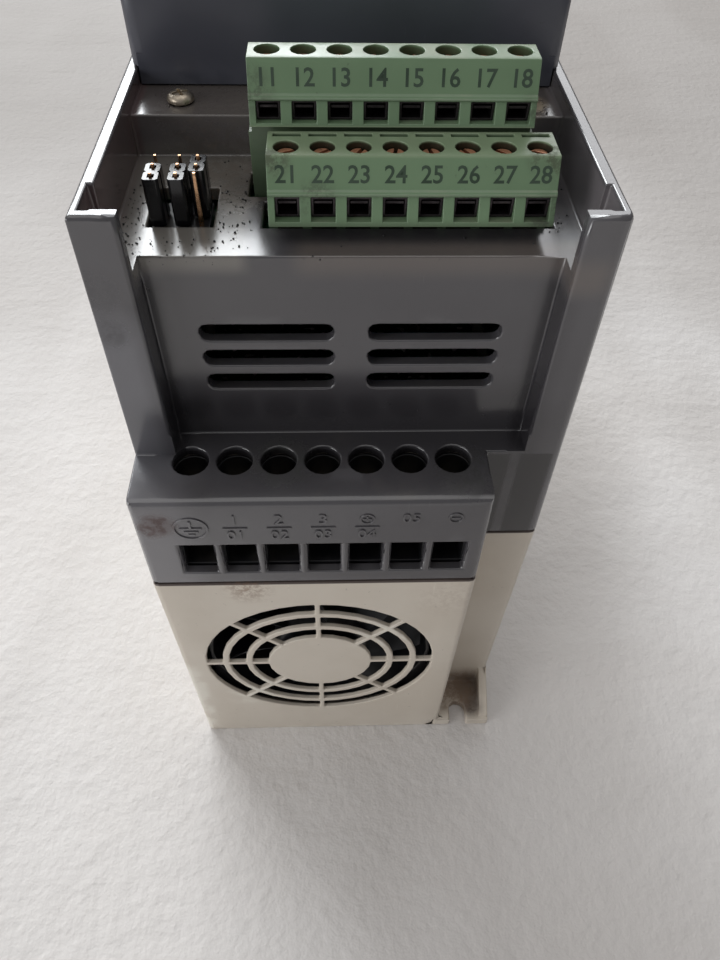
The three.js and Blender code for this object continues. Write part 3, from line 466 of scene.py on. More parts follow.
def mesh_piece(name, bm, material, body, bevel=0.0, segments=2, smooth_angle=35, worn=None):
    """Turns bm into an object that rides on a body, with its sharp edges rounded by bevel mm, or
    by twice that times worn(edge)."""
    if worn:
        weight = bm.edges.layers.float.new("bevel_weight_edge")
        for edge in bm.edges:
            if edge.calc_face_angle(0) > SHARP:
                edge[weight] = worn(edge)
    mesh = mesh_of(bm, name)
    mesh.materials.append(MATERIALS[material])
    piece = linked(name, mesh)
    mesh.shade_smooth()
    mesh.set_sharp_from_angle(angle=math.radians(smooth_angle))
    if bevel:
        rounding = piece.modifiers.new("edges", "BEVEL")
        rounding.width = bevel * MM * (2 if worn else 1)
        rounding.segments = segments
        rounding.limit_method = "WEIGHT" if worn else "ANGLE"
        rounding.angle_limit = SHARP
        rounding.use_clamp_overlap = False
        rounding.harden_normals = True
    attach(piece, body)
    return piece


def inside(points, ends):
    """Even-odd test of points against line segments, both as arrays in the same plane."""
    px, py = points[:, 0:1], points[:, 1:2]
    ax, ay, bx, by = ends.T
    spans = (ay > py) != (by > py)
    rise = np.where(by == ay, 1.0, by - ay)
    return (spans & (px < ax + (bx - ax) * (py - ay) / rise)).sum(axis=1) % 2 == 1


def clearance(points, ends):
    """The distance from each point to the nearest of the segments."""
    start, run = ends[:, :2], ends[:, 2:] - ends[:, :2]
    away = points[:, None, :] - start
    share = np.clip((away * run).sum(axis=2) / np.maximum((run ** 2).sum(axis=1), 1e-12), 0, 1)
    return np.linalg.norm(away - share[..., None] * run, axis=2).min(axis=1)


def tiles(region, rims, points, pitch):
    """Even triangles over one flat region; adds the new corners to points, in millimetres."""
    normal = sum((face.normal * face.calc_area() for face in region), Vector()).normalized()
    across = normal.orthogonal().normalized()
    up = normal.cross(across)
    sides = [side for face in region for edge in face.edges if edge in rims
             for side in zip(rims[edge], rims[edge][1:])]
    members = sorted({corner for side in sides for corner in side})
    height = points[members[0]].dot(normal)
    flat = np.array([(points[i].dot(across), points[i].dot(up)) for i in members])
    order = {corner: place for place, corner in enumerate(members)}
    sides = [(order[a], order[b]) for a, b in sides]
    ends = np.array([(*flat[a], *flat[b]) for a, b in sides])
    low, high = flat.min(axis=0), flat.max(axis=0)
    grid = np.array([(x, y) for x in np.arange(low[0] + pitch / 2, high[0], pitch)
                     for y in np.arange(low[1] + pitch / 2, high[1], pitch)])
    if len(grid):
        grid = grid[inside(grid, ends)]
    if len(grid):
        grid = grid[clearance(grid, ends) > pitch * 0.45]
        flat = np.vstack([flat, grid])
    corners, _, triangles, sources, _, _ = delaunay_2d_cdt(
        [Vector(place) for place in flat], sides, [], 0, 1e-5, True)
    placed = []
    for corner, source in zip(corners, sources):
        if source and source[0] < len(members):
            placed.append(members[source[0]])
        else:
            placed.append(len(points))
            points.append(across * corner[0] + up * corner[1] + normal * height)
    found = np.array([[corners[i] for i in triangle] for triangle in triangles])
    first, second = found[:, 1] - found[:, 0], found[:, 2] - found[:, 0]
    area = first[:, 0] * second[:, 1] - first[:, 1] * second[:, 0]
    keep = inside(found.mean(axis=1), ends) & (area > 1e-4)
    return [[placed[i] for i in triangle] for triangle, kept in zip(triangles, keep) if kept]


def retiled(bm, pitch):
    """The same solid with its flat faces laid out again in even triangles about pitch mm across,
    so that what rounds the edges has room and the finish can vary along a face."""
    bmesh.ops.remove_doubles(bm, verts=bm.verts, dist=0.002 * MM)
    bmesh.ops.dissolve_degenerate(bm, edges=bm.edges, dist=0.001 * MM)
    bm.verts.index_update()
    points = [vertex.co / MM for vertex in bm.verts]
    rims = {}
    for edge in bm.edges:
        if len(edge.link_faces) != 2 or edge.calc_face_angle(1.0) > math.radians(0.4):
            a, b = (vertex.index for vertex in edge.verts)
            count = max(1, round((points[a] - points[b]).length / pitch))
            between = [points[a].lerp(points[b], step / count) for step in range(1, count)]
            rims[edge] = [a, *range(len(points), len(points) + count - 1), b]
            points += between
    faces, seen = [], set()
    for first in bm.faces:
        if first in seen:
            continue
        seen.add(first)
        region = [first]
        for face in region:
            near = {other for edge in face.edges if edge not in rims for other in edge.link_faces} - seen
            seen |= near
            region += sorted(near, key=lambda other: other.index)
        if len(region) <= 2 and all(len(rims[e]) == 2 for f in region for e in f.edges if e in rims):
            faces += [[vertex.index for vertex in face.verts] for face in region]
        else:
            faces += tiles(region, rims, points, pitch)
    made = bmesh.new()
    corners = [made.verts.new(point * MM) for point in points]
    for face in faces:
        if len(set(face)) == 3:
            made.faces.new([corners[i] for i in face])
    bmesh.ops.delete(made, geom=[v for v in made.verts if not v.link_faces], context="VERTS")
    bmesh.ops.remove_doubles(made, verts=made.verts, dist=0.002 * MM)
    bm.free()
    return made


def keep_within_boxes(pieces):
    """Applies the rounding of each node's piece and draws in any corner that pokes out of the
    node's box."""
    depsgraph = bpy.context.evaluated_depsgraph_get()
    rounded = [(piece, node, bpy.data.meshes.new_from_object(
        piece.evaluated_get(depsgraph), preserve_all_data_layers=True, depsgraph=depsgraph))
        for node, piece in pieces.items()]
    for piece, node, mesh in rounded:
        piece.modifiers.clear()
        piece.data = mesh
        low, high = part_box(node)
        for vertex in mesh.vertices:
            vertex.co = [min(max(c, a), b) for c, a, b in zip(vertex.co, low, high)]


def housing_wear(edge):
    """How round an edge of the front housing is: 1 round the outside of the bay's rim and down
    the sides of the recess, 0 at the crowded corners where the blocks meet the walls."""
    ends = [(abs(v.co.x) / MM, v.co.y / MM, v.co.z / MM) for v in edge.verts]
    rim, front_wall, recess_side, recess_foot = 142.69, -74.9, 31.5, 99
    if all(z > rim and (x > 36.3 or y < front_wall) for x, y, z in ends):
        return 1.0
    if all(x < recess_side and y < front_wall and z > recess_foot for x, y, z in ends):
        return 1.0
    wall_corner, block_corner = (30.7, 74.2), (24.3, 86.05, 96)
    for x, y, z in ends:
        if z > 97 and math.dist((x, abs(y)), wall_corner) < 1.5:
            return 0.0
        if math.dist((x, abs(y), z), block_corner) < 2.5:
            return 0.0
    return 0.5


def refined(node, bevel, pitch):
    """A copy of a CAD node with evenly tiled faces and rounded edges, in the node's place."""
    bm = bmesh.new()
    bm.from_mesh(NODES[node].data)
    worn = housing_wear if node == "front_housing" else None
    piece = mesh_piece(node + "_skin", retiled(bm, pitch), NODE_SLOT[node], NODE_BODY[node], bevel, 3,
                       worn=worn)
    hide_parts(node)
    return piece


# ---- Floor ----

def add_floor():
    """A pale sheet of packing foam with soft wrinkles, and painted shade in its folds and towards the back.
    """
    bm = bmesh.new()
    bmesh.ops.create_grid(bm, x_segments=1, y_segments=1, size=3.0)
    mesh = mesh_of(bm, "floor")
    floor = linked("floor", mesh)
    g = Graph("floor")
    soft = g.noise(0.09, 4, 0.55, (1.6, 1, 1))
    fold_shade = g.step(g.noise(0.16, 2, 0.5, (0.5, 1.4, 1), 2.0), 0.4, 0.62)
    colour = g.mix(g.step(soft, 0.3, 0.7), srgb(218, 214, 211), srgb(227, 224, 222))
    # darker in the folds: painted shade
    colour = g.mix(g.times(fold_shade, 0.35), colour, srgb(178, 172, 167))
    # darker towards the back, beyond the drive: painted shade
    colour = g.mix(g.times(g.step(g.axes(g.place)[1], 0.0, 0.3), 0.75), colour, srgb(150, 144, 139))
    g.bump((g.noise(0.05, 3, 0.5, (2.2, 1, 1)), 0.0022), (g.noise(0.004, 3, 0.6), 0.0005))
    mesh.materials.append(g.finish(colour, 0.6, specular=0.15))


# ---- Turned and cut shapes ----

def lathe(profile, segments=32, swell=None):
    """A closed shape turned about Z from (radius, height) pairs in mm that start and end on the
    axis; swell(angle, radius, height) may change the radius on the way round."""
    bm = bmesh.new()
    rings = []
    for radius, height in profile:
        count = segments if radius else 1
        ring = []
        for i in range(count):
            angle = 2 * math.pi * i / segments
            reach = swell(angle, radius, height) if swell and radius else radius
            corner = (reach * math.cos(angle), reach * math.sin(angle), height)
            ring.append(bm.verts.new([c * MM for c in corner]))
        rings.append(ring)
    for lower, upper in zip(rings, rings[1:]):
        for i in range(segments):
            places = ((lower, i), (lower, i + 1), (upper, i + 1), (upper, i))
            bm.faces.new(list(dict.fromkeys(ring[k % len(ring)] for ring, k in places)))
    bmesh.ops.recalc_face_normals(bm, faces=bm.faces)
    return bm


def block(low, high):
    """A box between two corners in mm."""
    bm = bmesh.new()
    centre = (Vector(low) + Vector(high)) / 2 * MM
    size = (Vector(high) - Vector(low)) * MM
    bmesh.ops.create_cube(bm, size=1.0, matrix=Matrix.Translation(centre) @ Matrix.Diagonal((*size, 1)))
    return bm


def prism(outline, low, high):
    """An outline in X and Y, as (x, y) pairs in mm going round to the left, between two heights."""
    bm = bmesh.new()
    bottom, top = ([bm.verts.new((x * MM, y * MM, z * MM)) for x, y in outline] for z in (low, high))
    bm.faces.new(bottom[::-1])
    bm.faces.new(top)
    for i in range(len(outline)):
        j = (i + 1) % len(outline)
        bm.faces.new((bottom[i], bottom[j], top[j], top[i]))
    return bm


def joined(parts):
    """All the given meshes as one."""
    whole = bmesh.new()
    for part in parts:
        mesh = mesh_of(part)
        whole.from_mesh(mesh)
        bpy.data.meshes.remove(mesh)
    return whole


def moved(bm, place, turn=None):
    """The mesh turned by a matrix and then carried to a place in mm."""
    matrix = Matrix.Translation(Vector(place) * MM) @ (turn.to_4x4() if turn else Matrix())
    bmesh.ops.transform(bm, matrix=matrix, verts=bm.verts)
    return bm


def sliced(bm, reach, normal):
    """Takes away what lies further than reach mm out along the normal, and closes the cut."""
    geom = bm.verts[:] + bm.edges[:] + bm.faces[:]
    place = Vector(normal) * reach * MM
    cut = bmesh.ops.bisect_plane(bm, geom=geom, plane_co=place, plane_no=normal, clear_outer=True)
    bmesh.ops.edgeloop_fill(bm, edges=[e for e in cut["geom_cut"] if isinstance(e, bmesh.types.BMEdge)])
    return bm


def evaluated(obj):
    """The mesh that an object comes to with its modifiers, as a bmesh; the object is removed."""
    bpy.context.view_layer.update()
    mesh = bpy.data.meshes.new_from_object(obj.evaluated_get(bpy.context.evaluated_depsgraph_get()))
    bm = bmesh.new()
    bm.from_mesh(mesh)
    bpy.data.meshes.remove(mesh)
    bpy.data.objects.remove(obj)
    return bm


def subtracted(body, tool):
    """body with tool cut out of it."""
    tool = linked("tool", mesh_of(tool))
    target = linked("target", mesh_of(body))
    cut = target.modifiers.new("cut", "BOOLEAN")
    cut.object = tool
    cut.solver = "EXACT"
    bm = evaluated(target)
    bpy.data.objects.remove(tool)
    return bm


def figure(text, height, depth=0.04, bold=0.0):
    """Generic numerals, flat on the XY plane about their middle: digits height mm tall."""
    curve = bpy.data.curves.new("figure", "FONT")
    curve.body = text
    curve.size = height * MM / 0.72
    curve.align_x = "CENTER"
    curve.align_y = "CENTER"
    curve.extrude = depth * MM / 2
    curve.offset = bold * MM
    curve.resolution_u = 3
    return evaluated(linked("figure", curve))


TO_FRONT = Matrix.Rotation(math.radians(90), 3, "X")  # from lying flat to facing -Y
HALF_TURN = Matrix.Rotation(math.pi, 3, "Z")


# ---- Screws ----

def corners(node):
    """A node's lowest and highest corner and its middle, in mm."""
    low, high = (Vector(corner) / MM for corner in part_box(node))
    return low, high, (low + high) / 2


def slotted_screw(node, slot_width, slot_depth, wear_turn):
    """A headless screw with a chamfered driver slot, its thread showing below the crown."""
    low, high, middle = corners(node)
    radius = (high.x - low.x) / 2
    height = high.z - low.z
    floor = height - slot_depth
    thread = [(0, 0), (radius * 0.8, 0)]
    for turn in range(int((floor - 0.5) / 0.5)):
        thread += [(radius, 0.25 + 0.5 * turn), (radius * 0.86, 0.5 + 0.5 * turn)]
    shank = lathe(thread + [(radius, floor - 0.1), (radius, floor), (0, floor)], 28)
    crown = [(0, floor), (radius, floor), (radius, height - 0.3), (radius - 0.28, height - 0.04), (0, height)]
    halves = [sliced(lathe(crown, 28), -slot_width / 2, (0, side, 0)) for side in (1, -1)]
    turn = Matrix.Rotation(math.radians(middle.x * 37 % 180 + wear_turn), 3, "Z")
    bm = moved(joined([shank, *halves]), (middle.x, middle.y, low.z), turn)
    piece = mesh_piece(node + "_turned", bm, NODE_SLOT[node], NODE_BODY[node], 0.05)
    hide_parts(node)


def cover_screw(node):
    """A pan-head screw with a cross recess and a little flange, turned to some angle."""
    low, high, middle = corners(node)
    radius = (high.x - low.x) / 2
    seat = high.z - 1.3
    top = high.z - low.z
    head = [(0, 0), (1.3, 0), (1.4, 0.3), (1.4, seat - low.z), (radius, seat - low.z),
            (radius, top - 0.9), (radius - 0.12, top - 0.6), (radius - 0.45, top - 0.27),
            (radius - 0.95, top - 0.08), (0.7, top - 0.02), (0, top)]
    arms = []
    for quarter in range(4):
        arm = prism([(-0.22, 0), (0.22, 0), (0.3, 1.3), (-0.3, 1.3)], top - 0.8, top + 1)
        arms.append(moved(arm, (0, 0, 0), Matrix.Rotation(math.radians(90 * quarter), 3, "Z")))
    core = lathe([(0, top - 1.2), (0.45, top - 0.8), (0.55, top + 1), (0, top + 1)], 16)
    screw = lathe(head, 40)
    for tool in (*arms, core):
        screw = subtracted(screw, tool)
    turn = Matrix.Rotation(math.radians(24 if middle.x < 0 else 61), 3, "Z")
    piece = mesh_piece(node + "_turned", moved(screw, (middle.x, middle.y, low.z), turn),
                       NODE_SLOT[node], NODE_BODY[node], 0.04)
    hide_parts(node)


# ---- Terminals ----

def clamp_cages(name, screws, half, depth, drop, height, back, side=1):
    """The sheet metal cage under each screw, open to the wire entry. depth is how far its mouth
    is from the screw's axis and back how far it reaches behind it, both in mm."""
    cages = []
    for node in screws:
        low, _, middle = corners(node)
        top = low.z - drop
        outer = block((-half, -depth, top - height), (half, back, top))
        wall = 0.35
        inner = half - wall
        hollow = block((-inner, -depth - 1, top - height + wall), (inner, back - wall, top - wall))
        jaw = block((0.1 - inner, 0.2 - depth, top - 1.1), (inner - 0.1, back - 0.6, top - 0.7))
        cage = joined([subtracted(outer, hollow), jaw])
        cages.append(moved(cage, (middle.x, middle.y, 0), HALF_TURN if side < 0 else None))
    mesh_piece(name, joined(cages), "dark_steel", "casing", 0.06)


def printed_row(tier, screws, first, depth, lean):
    """Consecutive numbers printed on the leaning front of a terminal tier, one under each screw.
    depth is the tier's, front to back at its top, and lean its front's slope."""
    top_edge = corners(tier)[1] - Vector((0, depth, 0))
    turn = Matrix.Rotation(math.pi / 2 - math.atan(lean), 3, "X")
    drop, digit_height = 2.35, 2.35
    prints = []
    for index, node in enumerate(screws):
        place = (corners(node)[2].x, top_edge.y - lean * drop - 0.01, top_edge.z - drop)
        prints.append(moved(figure(str(first + index), digit_height, bold=0.05), place, turn))
    mesh_piece(tier + "_numbers", joined(prints), "printing_ink", "casing")


# ---- Marks on the terminal blocks ----

MARK_HEIGHT = 0.25  # how far the moulded marks stand off the block's face


def bar(width, thickness, y=0.0):
    """A flat bar across the Y axis, at y on it."""
    half = MARK_HEIGHT / 2
    return block((-width / 2, y - thickness / 2, -half), (width / 2, y + thickness / 2, half))


def hoop(outer, inner):
    """A flat ring lying on the XY plane."""
    bm = bmesh.new()
    half, segments = MARK_HEIGHT / 2, 40
    angles = [2 * math.pi * i / segments for i in range(segments)]
    loops = [[bm.verts.new((r * math.cos(a) * MM, r * math.sin(a) * MM, z * MM)) for a in angles]
             for r, z in ((outer, -half), (outer, half), (inner, half), (inner, -half))]
    for first, second in zip(loops, loops[1:] + loops[:1]):
        for i in range(segments):
            j = (i + 1) % segments
            bm.faces.new((first[i], first[j], second[j], second[i]))
    bmesh.ops.recalc_face_normals(bm, faces=bm.faces)
    return bm


def earth_mark():
    """The earth sign in its circle."""
    return [hoop(3.1, 2.68), bar(0.46, 2.0, 1.1), bar(3.9, 0.42, 0.05), bar(2.5, 0.42, -0.85),
            bar(1.2, 0.42, -1.65)]


def pole_mark(upper, lower):
    """What stands above a wire entry: one sign over another with a rule between them."""
    parts = [moved(part, (0, 2.3, 0)) for part in upper]
    if lower:
        parts += [bar(4.3, 0.32), moved(figure(lower, 2.4, MARK_HEIGHT), (0, -2.1, 0))]
    return parts


def moulded_marks():
    """Raised signs over the entries of both terminal blocks: earth, then numbered poles, and plus
    and minus on the motor side."""
    plus = [hoop(1.35, 1.05), bar(1.5, 0.3), bar(0.3, 1.5)]
    minus = [hoop(1.35, 1.05), bar(1.5, 0.3)]
    motor = [earth_mark(), *(pole_mark([figure(str(i), 2.7, MARK_HEIGHT)], f"0{i}") for i in (1, 2, 3)),
             pole_mark(plus, "04"), pole_mark([figure("05", 2.4, MARK_HEIGHT)], None), pole_mark(minus, None)]
    supply = [earth_mark(), *(pole_mark([figure(str(i), 2.7, MARK_HEIGHT)], f"0{i}") for i in (6, 7, 8))]
    low, high, _ = corners("front_housing")
    level = 90.3
    for name, marks, screws, face, turn in (
            ("motor_marks", motor, "motor_screw_", low.y, TO_FRONT),
            ("supply_marks", supply, "supply_screw_", high.y, HALF_TURN @ TO_FRONT)):
        out = -1 if face < 0 else 1
        placed = []
        for index, parts in enumerate(marks, 1):
            x = corners(screws + str(index))[2].x
            depth = face + out * (MARK_HEIGHT / 2 - 0.02)
            placed.append(moved(joined(parts), (x, depth, level), turn))
        mesh_piece(name, joined(placed), "housing_plastic", "casing", 0.05)


# ---- Jumpers ----

PIN_PITCH = 2.54


def jumper_header():
    """Three rows of square pins with pointed tips in a black base."""
    low, high, _ = corners("jumper_header")
    base_top = DECK - 1.0
    columns = [corners(f"jumper_shunt_{i}")[2].x for i in (1, 2, 3)]
    rows = [low.y + PIN_PITCH * (i + 0.5) for i in range(3)]
    half, tip = 0.34, 0.35
    pins = []
    for x in columns:
        for y in rows:
            bm = block((x - half, y - half, base_top - 1), (x + half, y + half, high.z))
            for vertex in bm.verts:
                if vertex.co.z > base_top * MM:
                    vertex.co.x += (x * MM - vertex.co.x) * tip
                    vertex.co.y += (y * MM - vertex.co.y) * tip
            pins.append(bm)
    base = block((low.x, low.y, low.z), (high.x, high.y, base_top))
    body = mesh_piece("header_base", base, "black_plastic", "casing", 0.2)
    mesh_piece("header_pins", joined(pins), "header_pins", "casing", 0.06)
    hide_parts("jumper_header")


def jumper_shunt(node):
    """A glossy two-pole shunt, waisted between its two passages."""
    low, high, middle = corners(node)
    wide, long = (high.x - low.x) / 2, (high.y - low.y) / 2
    quarter = [(wide, 0.3), (wide, long - 0.35), (wide - 0.35, long)]
    right = [(x, -y) for x, y in reversed(quarter)] + [(wide - 0.3, 0)] + quarter
    outline = right + [(-x, -y) for x, y in right]
    body = prism(outline, low.z, high.z)
    for y in (-PIN_PITCH / 2, PIN_PITCH / 2):
        body = subtracted(body, block((-0.44, y - 0.44, low.z - 1), (0.44, y + 0.44, high.z + 1)))
    body = moved(body, (middle.x, middle.y, 0))
    piece = mesh_piece(node + "_glossy", body, "shunt_plastic", NODE_BODY[node], 0.1)
    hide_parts(node)


# ---- Fan ----

def fan_blade(turn, hub, tip, depth):
    """A cambered blade that twists from root to tip, at an angle round the hub."""
    bm = bmesh.new()
    along, across = 9, 8
    skins = []
    for side in (1, -1):
        skin = []
        for i in range(along + 1):
            radius = hub - 0.5 + (tip - hub + 0.5) * i / along
            pitch = math.radians(52 - 20 * i / along)
            chord = 12.2 + 2.4 * i / along
            line = []
            for j in range(across + 1):
                share = j / across - 0.5
                camber = (0.25 - share * share) * 2.2
                thick = side * 0.62 * math.sqrt(max(0.02, 1 - (2 * share) ** 2))
                run = chord * share * math.cos(pitch) - (camber + thick) * math.sin(pitch)
                rise = chord * share * math.sin(pitch) + (camber + thick) * math.cos(pitch)
                rise = max(0.3 - depth / 2, min(depth / 2 - 0.3, rise))
                angle = turn + run / radius + 0.16 * (i / along) ** 2
                corner = (radius * math.cos(angle), rise, radius * math.sin(angle))
                line.append(bm.verts.new([c * MM for c in corner]))
            skin.append(line)
        skins.append(skin)
    top, bottom = skins
    for i in range(along):
        for j in range(across):
            bm.faces.new((top[i][j], top[i + 1][j], top[i + 1][j + 1], top[i][j + 1]))
            bm.faces.new((bottom[i][j + 1], bottom[i + 1][j + 1], bottom[i + 1][j], bottom[i][j]))
        for j in (0, across):
            bm.faces.new((top[i][j], bottom[i][j], bottom[i + 1][j], top[i + 1][j]))
    for i in (0, along):
        for j in range(across):
            bm.faces.new((top[i][j], top[i][j + 1], bottom[i][j + 1], bottom[i][j]))
    bmesh.ops.recalc_face_normals(bm, faces=bm.faces)
    return bm


def fan_rotor():
    """A domed hub and seven blades."""
    low, high, middle = corners("fan_rotor")
    hub, tip, blades = 10.8, (high.x - low.x) / 2, 7
    depth = high.y - low.y
    profile = [(0, 0), (hub - 2.2, 0), (hub - 0.8, 0.35), (hub, 1.3), (hub, depth), (0, depth)]
    parts = [moved(lathe(profile, 48), (0, -depth / 2, 0), Matrix.Rotation(math.radians(-90), 3, "X"))]
    parts += [fan_blade(2 * math.pi * number / blades, hub, tip, depth) for number in range(blades)]
    rotor = moved(joined(parts), middle)
    piece = mesh_piece("fan_rotor_blades", rotor, "black_plastic", "fan", smooth_angle=50)
    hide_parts("fan_rotor")


# ---- Keypad ----

def speed_knob():
    """A knob with a fluted grip, a dished top and an inlaid pointer."""
    low, high, middle = corners("speed_knob")
    shaft, skirt = 3.0, (high.x - low.x) / 2
    top, bottom = high.z - low.z, corners("keypad_bezel")[1].z + 0.4 - low.z

    def flutes(angle, radius, height):
        grip = 4 < radius < skirt - 1.0 and height > bottom + 1.3
        return radius - (0.32 * (0.5 + 0.5 * math.cos(24 * angle)) ** 2 if grip else 0)

    profile = [(0, 0), (shaft - 0.3, 0), (shaft, 0.3), (shaft, bottom), (skirt - 0.3, bottom),
               (skirt, bottom + 0.25), (skirt, bottom + 0.8), (skirt - 0.35, bottom + 1.1),
               (skirt - 1.2, bottom + 1.35), (skirt - 1.35, bottom + 1.8), (skirt - 1.6, top - 1.2),
               (skirt - 1.75, top - 0.5), (skirt - 2.1, top - 0.12), (skirt - 2.6, top),
               (3.9, top - 0.05), (3.2, top - 0.35), (0, top - 0.45)]
    body = mesh_piece("speed_knob_grip", moved(lathe(profile, 192, flutes), (middle.x, middle.y, low.z)),
                      "knob_plastic", "knob")
    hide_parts("speed_knob")
    pointer = prism([(-0.35, 3.9), (0.35, 3.9), (0.35, skirt - 1.75), (-0.35, skirt - 1.75)], -0.3, -0.005)
    mesh_piece("knob_pointer", moved(pointer, (middle.x, middle.y, high.z)), "key_rubber", "knob", 0.03)


def dial():
    """Eleven ticks on the panel, over 300 degrees round the knob, every other one numbered."""
    _, _, middle = corners("speed_knob")
    face = corners("keypad_bezel")[1].z
    parts = []
    for number in range(11):
        angle = math.radians(240 - 30 * number)
        spoke = Vector((math.cos(angle), math.sin(angle), 0))
        tick = prism([(8.5, -0.12), (9.3, -0.12), (9.3, 0.12), (8.5, 0.12)], 0, 0.03)
        parts.append(moved(tick, (middle.x, middle.y, face), Matrix.Rotation(angle, 3, "Z")))
        if number % 2 == 0:
            place = Vector((middle.x, middle.y, face + 0.02)) + spoke * 10.7
            parts.append(moved(figure(str(number), 1.5, 0.03), place))
    mesh_piece("dial_print", joined(parts), "key_rubber", "casing")


KEY_SIGNS = {
    "key_program": [[(-2.2, y - 0.3), (2.2, y - 0.3), (2.2, y + 0.3), (-2.2, y + 0.3)]
                    for y in (1.2, 0, -1.2)],
    "key_up": [[(-2.1, -1.3), (2.1, -1.3), (0, 1.7)]],
    "key_enter": [[(-2.4, -0.7), (-0.9, -1.9), (-0.9, -1.0), (2.2, -1.0), (2.2, 1.6), (1.6, 1.6),
                   (1.6, -0.4), (-0.9, -0.4), (-0.9, 0.5)]],
    "key_down": [[(-2.1, 1.3), (0, -1.7), (2.1, 1.3)]],
    "key_run": [[(-1.6, -2.0), (2.0, 0), (-1.6, 2.0)]],
    "key_stop": [[(-1.6, -1.6), (1.6, -1.6), (1.6, 1.6), (-1.6, 1.6)]],
}


def key_signs():
    """Plain generic signs printed on the keys, which travel with them."""
    for key, outlines in KEY_SIGNS.items():
        _, high, middle = corners(key)
        sign = joined([prism(outline, -0.02, 0.0) for outline in outlines])
        ink = "black_plastic" if NODE_SLOT[key] == "key_rubber" else "key_rubber"
        mesh_piece(key + "_sign", moved(sign, (middle.x, middle.y, high.z + 0.01)), ink, NODE_BODY[key])


def display_digits():
    """Five figures of seven bars each, on the display behind its window."""
    _, high, middle = corners("led_display")
    long, thick, lean, spacing, reach = 2.5, 0.34, 0.12, 5.9, 2.9
    outline = [(-long / 2, 0), (-long / 2 + thick, -thick), (long / 2 - thick, -thick), (long / 2, 0),
               (long / 2 - thick, thick), (-long / 2 + thick, thick)]
    lying = [(0, y, None) for y in (reach, 0, -reach)]
    quarter = Matrix.Rotation(math.radians(90), 3, "Z")
    standing = [(x, y, quarter) for y in (reach / 2, -reach / 2) for x in (-reach / 2, reach / 2)]
    bars = []
    for digit in range(5):
        x = middle.x + (digit - 2) * spacing
        for dx, dy, turn in lying + standing:
            place = (x + dx + lean * dy, middle.y + dy, high.z)
            bars.append(moved(prism(outline, 0, 0.06), place, turn))
    mesh_piece("display_bars", joined(bars), "stop_key", "casing")


# ---- Board ----

def board_parts():
    """Chips and their leads on the underside of the control board, clear of the relay."""
    draw = random.Random(11)
    low, high, _ = corners("control_board")
    relay_low, relay_high, _ = corners("signal_relay")
    room, lead_pitch, gap = 2, 1.27, 0.05
    sizes = [(5.0, 4.0, 1.2), (3.2, 1.6, 0.6), (2.0, 1.25, 0.5), (8.6, 3.9, 1.4)]
    black, tinned = [], []
    for _ in range(26):
        x, y = draw.uniform(-30, 30), draw.uniform(low.y + 18, high.y - 5)
        beside = not relay_low.x - room < x < relay_high.x + room
        if not beside and relay_low.y - room < y < relay_high.y + room:
            continue
        length, width, height = draw.choice(sizes)
        half, side, top = length / 2, width / 2, low.z - gap
        black.append(block((x - half, y - side, low.z - height), (x + half, y + side, top)))
        for step in range(int(length / lead_pitch)):
            lead = x - half + 0.6 + lead_pitch * step
            for out in (-1, 1):
                edge = y + out * (side + 0.35)
                foot = (lead - 0.2, edge - 0.4, low.z - 0.4)
                tinned.append(block(foot, (lead + 0.2, edge + 0.4, top)))
    mesh_piece("board_chips", joined(black), "black_plastic", "casing", 0.1)
    mesh_piece("board_leads", joined(tinned), "steel_screws", "casing")


# ---- Grit ----

# How many grains, their reach along X, along Y, and what they lie on.
GRIT = (
    (90, (-34, -30.6), (-70, -46), DECK), (70, (-34, -19), (-72, -65), DECK),
    (60, (-20, -14), (-68, -52), DECK), (24, (29, 34), (-66, -44), DECK),
    (44, (-34, 34), (-40.4, -27.4), SHELF), (18, (-14, 30), (-72, -64), DECK),
    (50, (-34, -14), (-56, -42), DECK),
)


def crumbs():
    """Grit that has collected on the deck by the jumpers, along the terminals and on the shelf."""
    draw = random.Random(5)
    grains = []
    for count, across, along, level in GRIT:
        for _ in range(count):
            size = 0.05 + 0.16 * draw.random() ** 2
            bm = bmesh.new()
            bmesh.ops.create_icosphere(bm, subdivisions=1, radius=size * MM)
            for vertex in bm.verts:
                vertex.co *= draw.uniform(0.7, 1.15)
            grains.append(moved(bm, (draw.uniform(*across), draw.uniform(*along), level + size / 2)))
    mesh_piece("grit", joined(grains), "black_plastic", "casing")


# ---- Build ----

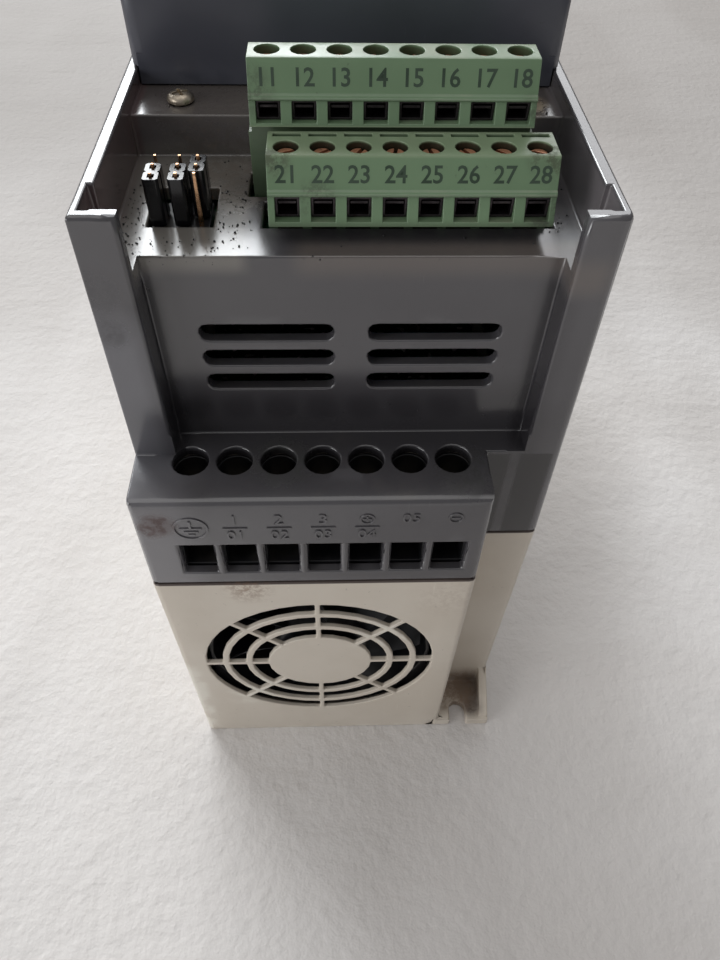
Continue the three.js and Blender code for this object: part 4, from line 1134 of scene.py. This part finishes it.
# Bevel and tile size in mm: the usual ones, and the nodes that have others.
USUAL = (0.35, 4)
REFINED = {
    "display_window": (0.1, 4), "led_display": (0.15, 4), "keypad_board": (0.15, 6),
    "control_board": (0.15, 6), "power_board": (0.15, 6), "heat_sink": (0.2, 12), "fan_frame": (0.3, 4),
    "keypad_bezel": (0.25, 3), "control_terminal_front": (0.1, 1.3),
    "control_terminal_rear": (0.1, 1.3), "motor_terminal_block": (0.15, 4),
    "supply_terminal_block": (0.15, 4), "upper_cover": (0.0, 6),
}
REMADE = ("jumper_header", "fan_rotor", "speed_knob")
FRONT_SCREWS = [f"control_screw_front_{i}" for i in range(1, 9)]
REAR_SCREWS = [f"control_screw_rear_{i}" for i in range(1, 9)]
MOTOR_SCREWS = [f"motor_screw_{i}" for i in range(1, 8)]
SUPPLY_SCREWS = [f"supply_screw_{i}" for i in range(1, 5)]

bpy.context.scene.view_settings.view_transform = "Standard"
add_camera()
add_lights()
add_floor()

for index, screw_node in enumerate(FRONT_SCREWS + REAR_SCREWS):
    slotted_screw(screw_node, slot_width=0.55, slot_depth=0.8, wear_turn=11 * index)
for index, screw_node in enumerate(MOTOR_SCREWS + SUPPLY_SCREWS):
    slotted_screw(screw_node, slot_width=0.9, slot_depth=1.2, wear_turn=17 * index)
cover_screw("cover_screw_left")
cover_screw("cover_screw_right")
clamp_cages("front_cages", FRONT_SCREWS, half=1.72, depth=4.5, drop=0.5, height=3.05, back=0.75)
clamp_cages("rear_cages", REAR_SCREWS, half=1.72, depth=4.4, drop=0.52, height=2.7, back=0.75)
clamp_cages("motor_cages", MOTOR_SCREWS, half=2.75, depth=3.6, drop=0.7, height=4.7, back=2.3)
clamp_cages("supply_cages", SUPPLY_SCREWS, half=2.75, depth=2.6, drop=0.7, height=4.7, back=2.3, side=-1)
printed_row("control_terminal_front", FRONT_SCREWS, first=21, depth=7.1, lean=0.42)
printed_row("control_terminal_rear", REAR_SCREWS, first=11, depth=5.3, lean=0.36)
moulded_marks()
jumper_header()
for number in (1, 2, 3):
    jumper_shunt(f"jumper_shunt_{number}")
fan_rotor()
speed_knob()
dial()
key_signs()
display_digits()
board_parts()
crumbs()

skins = {}
for node_name in sorted(NODES):
    if node_name in REMADE or "screw" in node_name or "shunt" in node_name:
        continue
    skins[node_name] = refined(node_name, *REFINED.get(node_name, USUAL))
keep_within_boxes(skins)
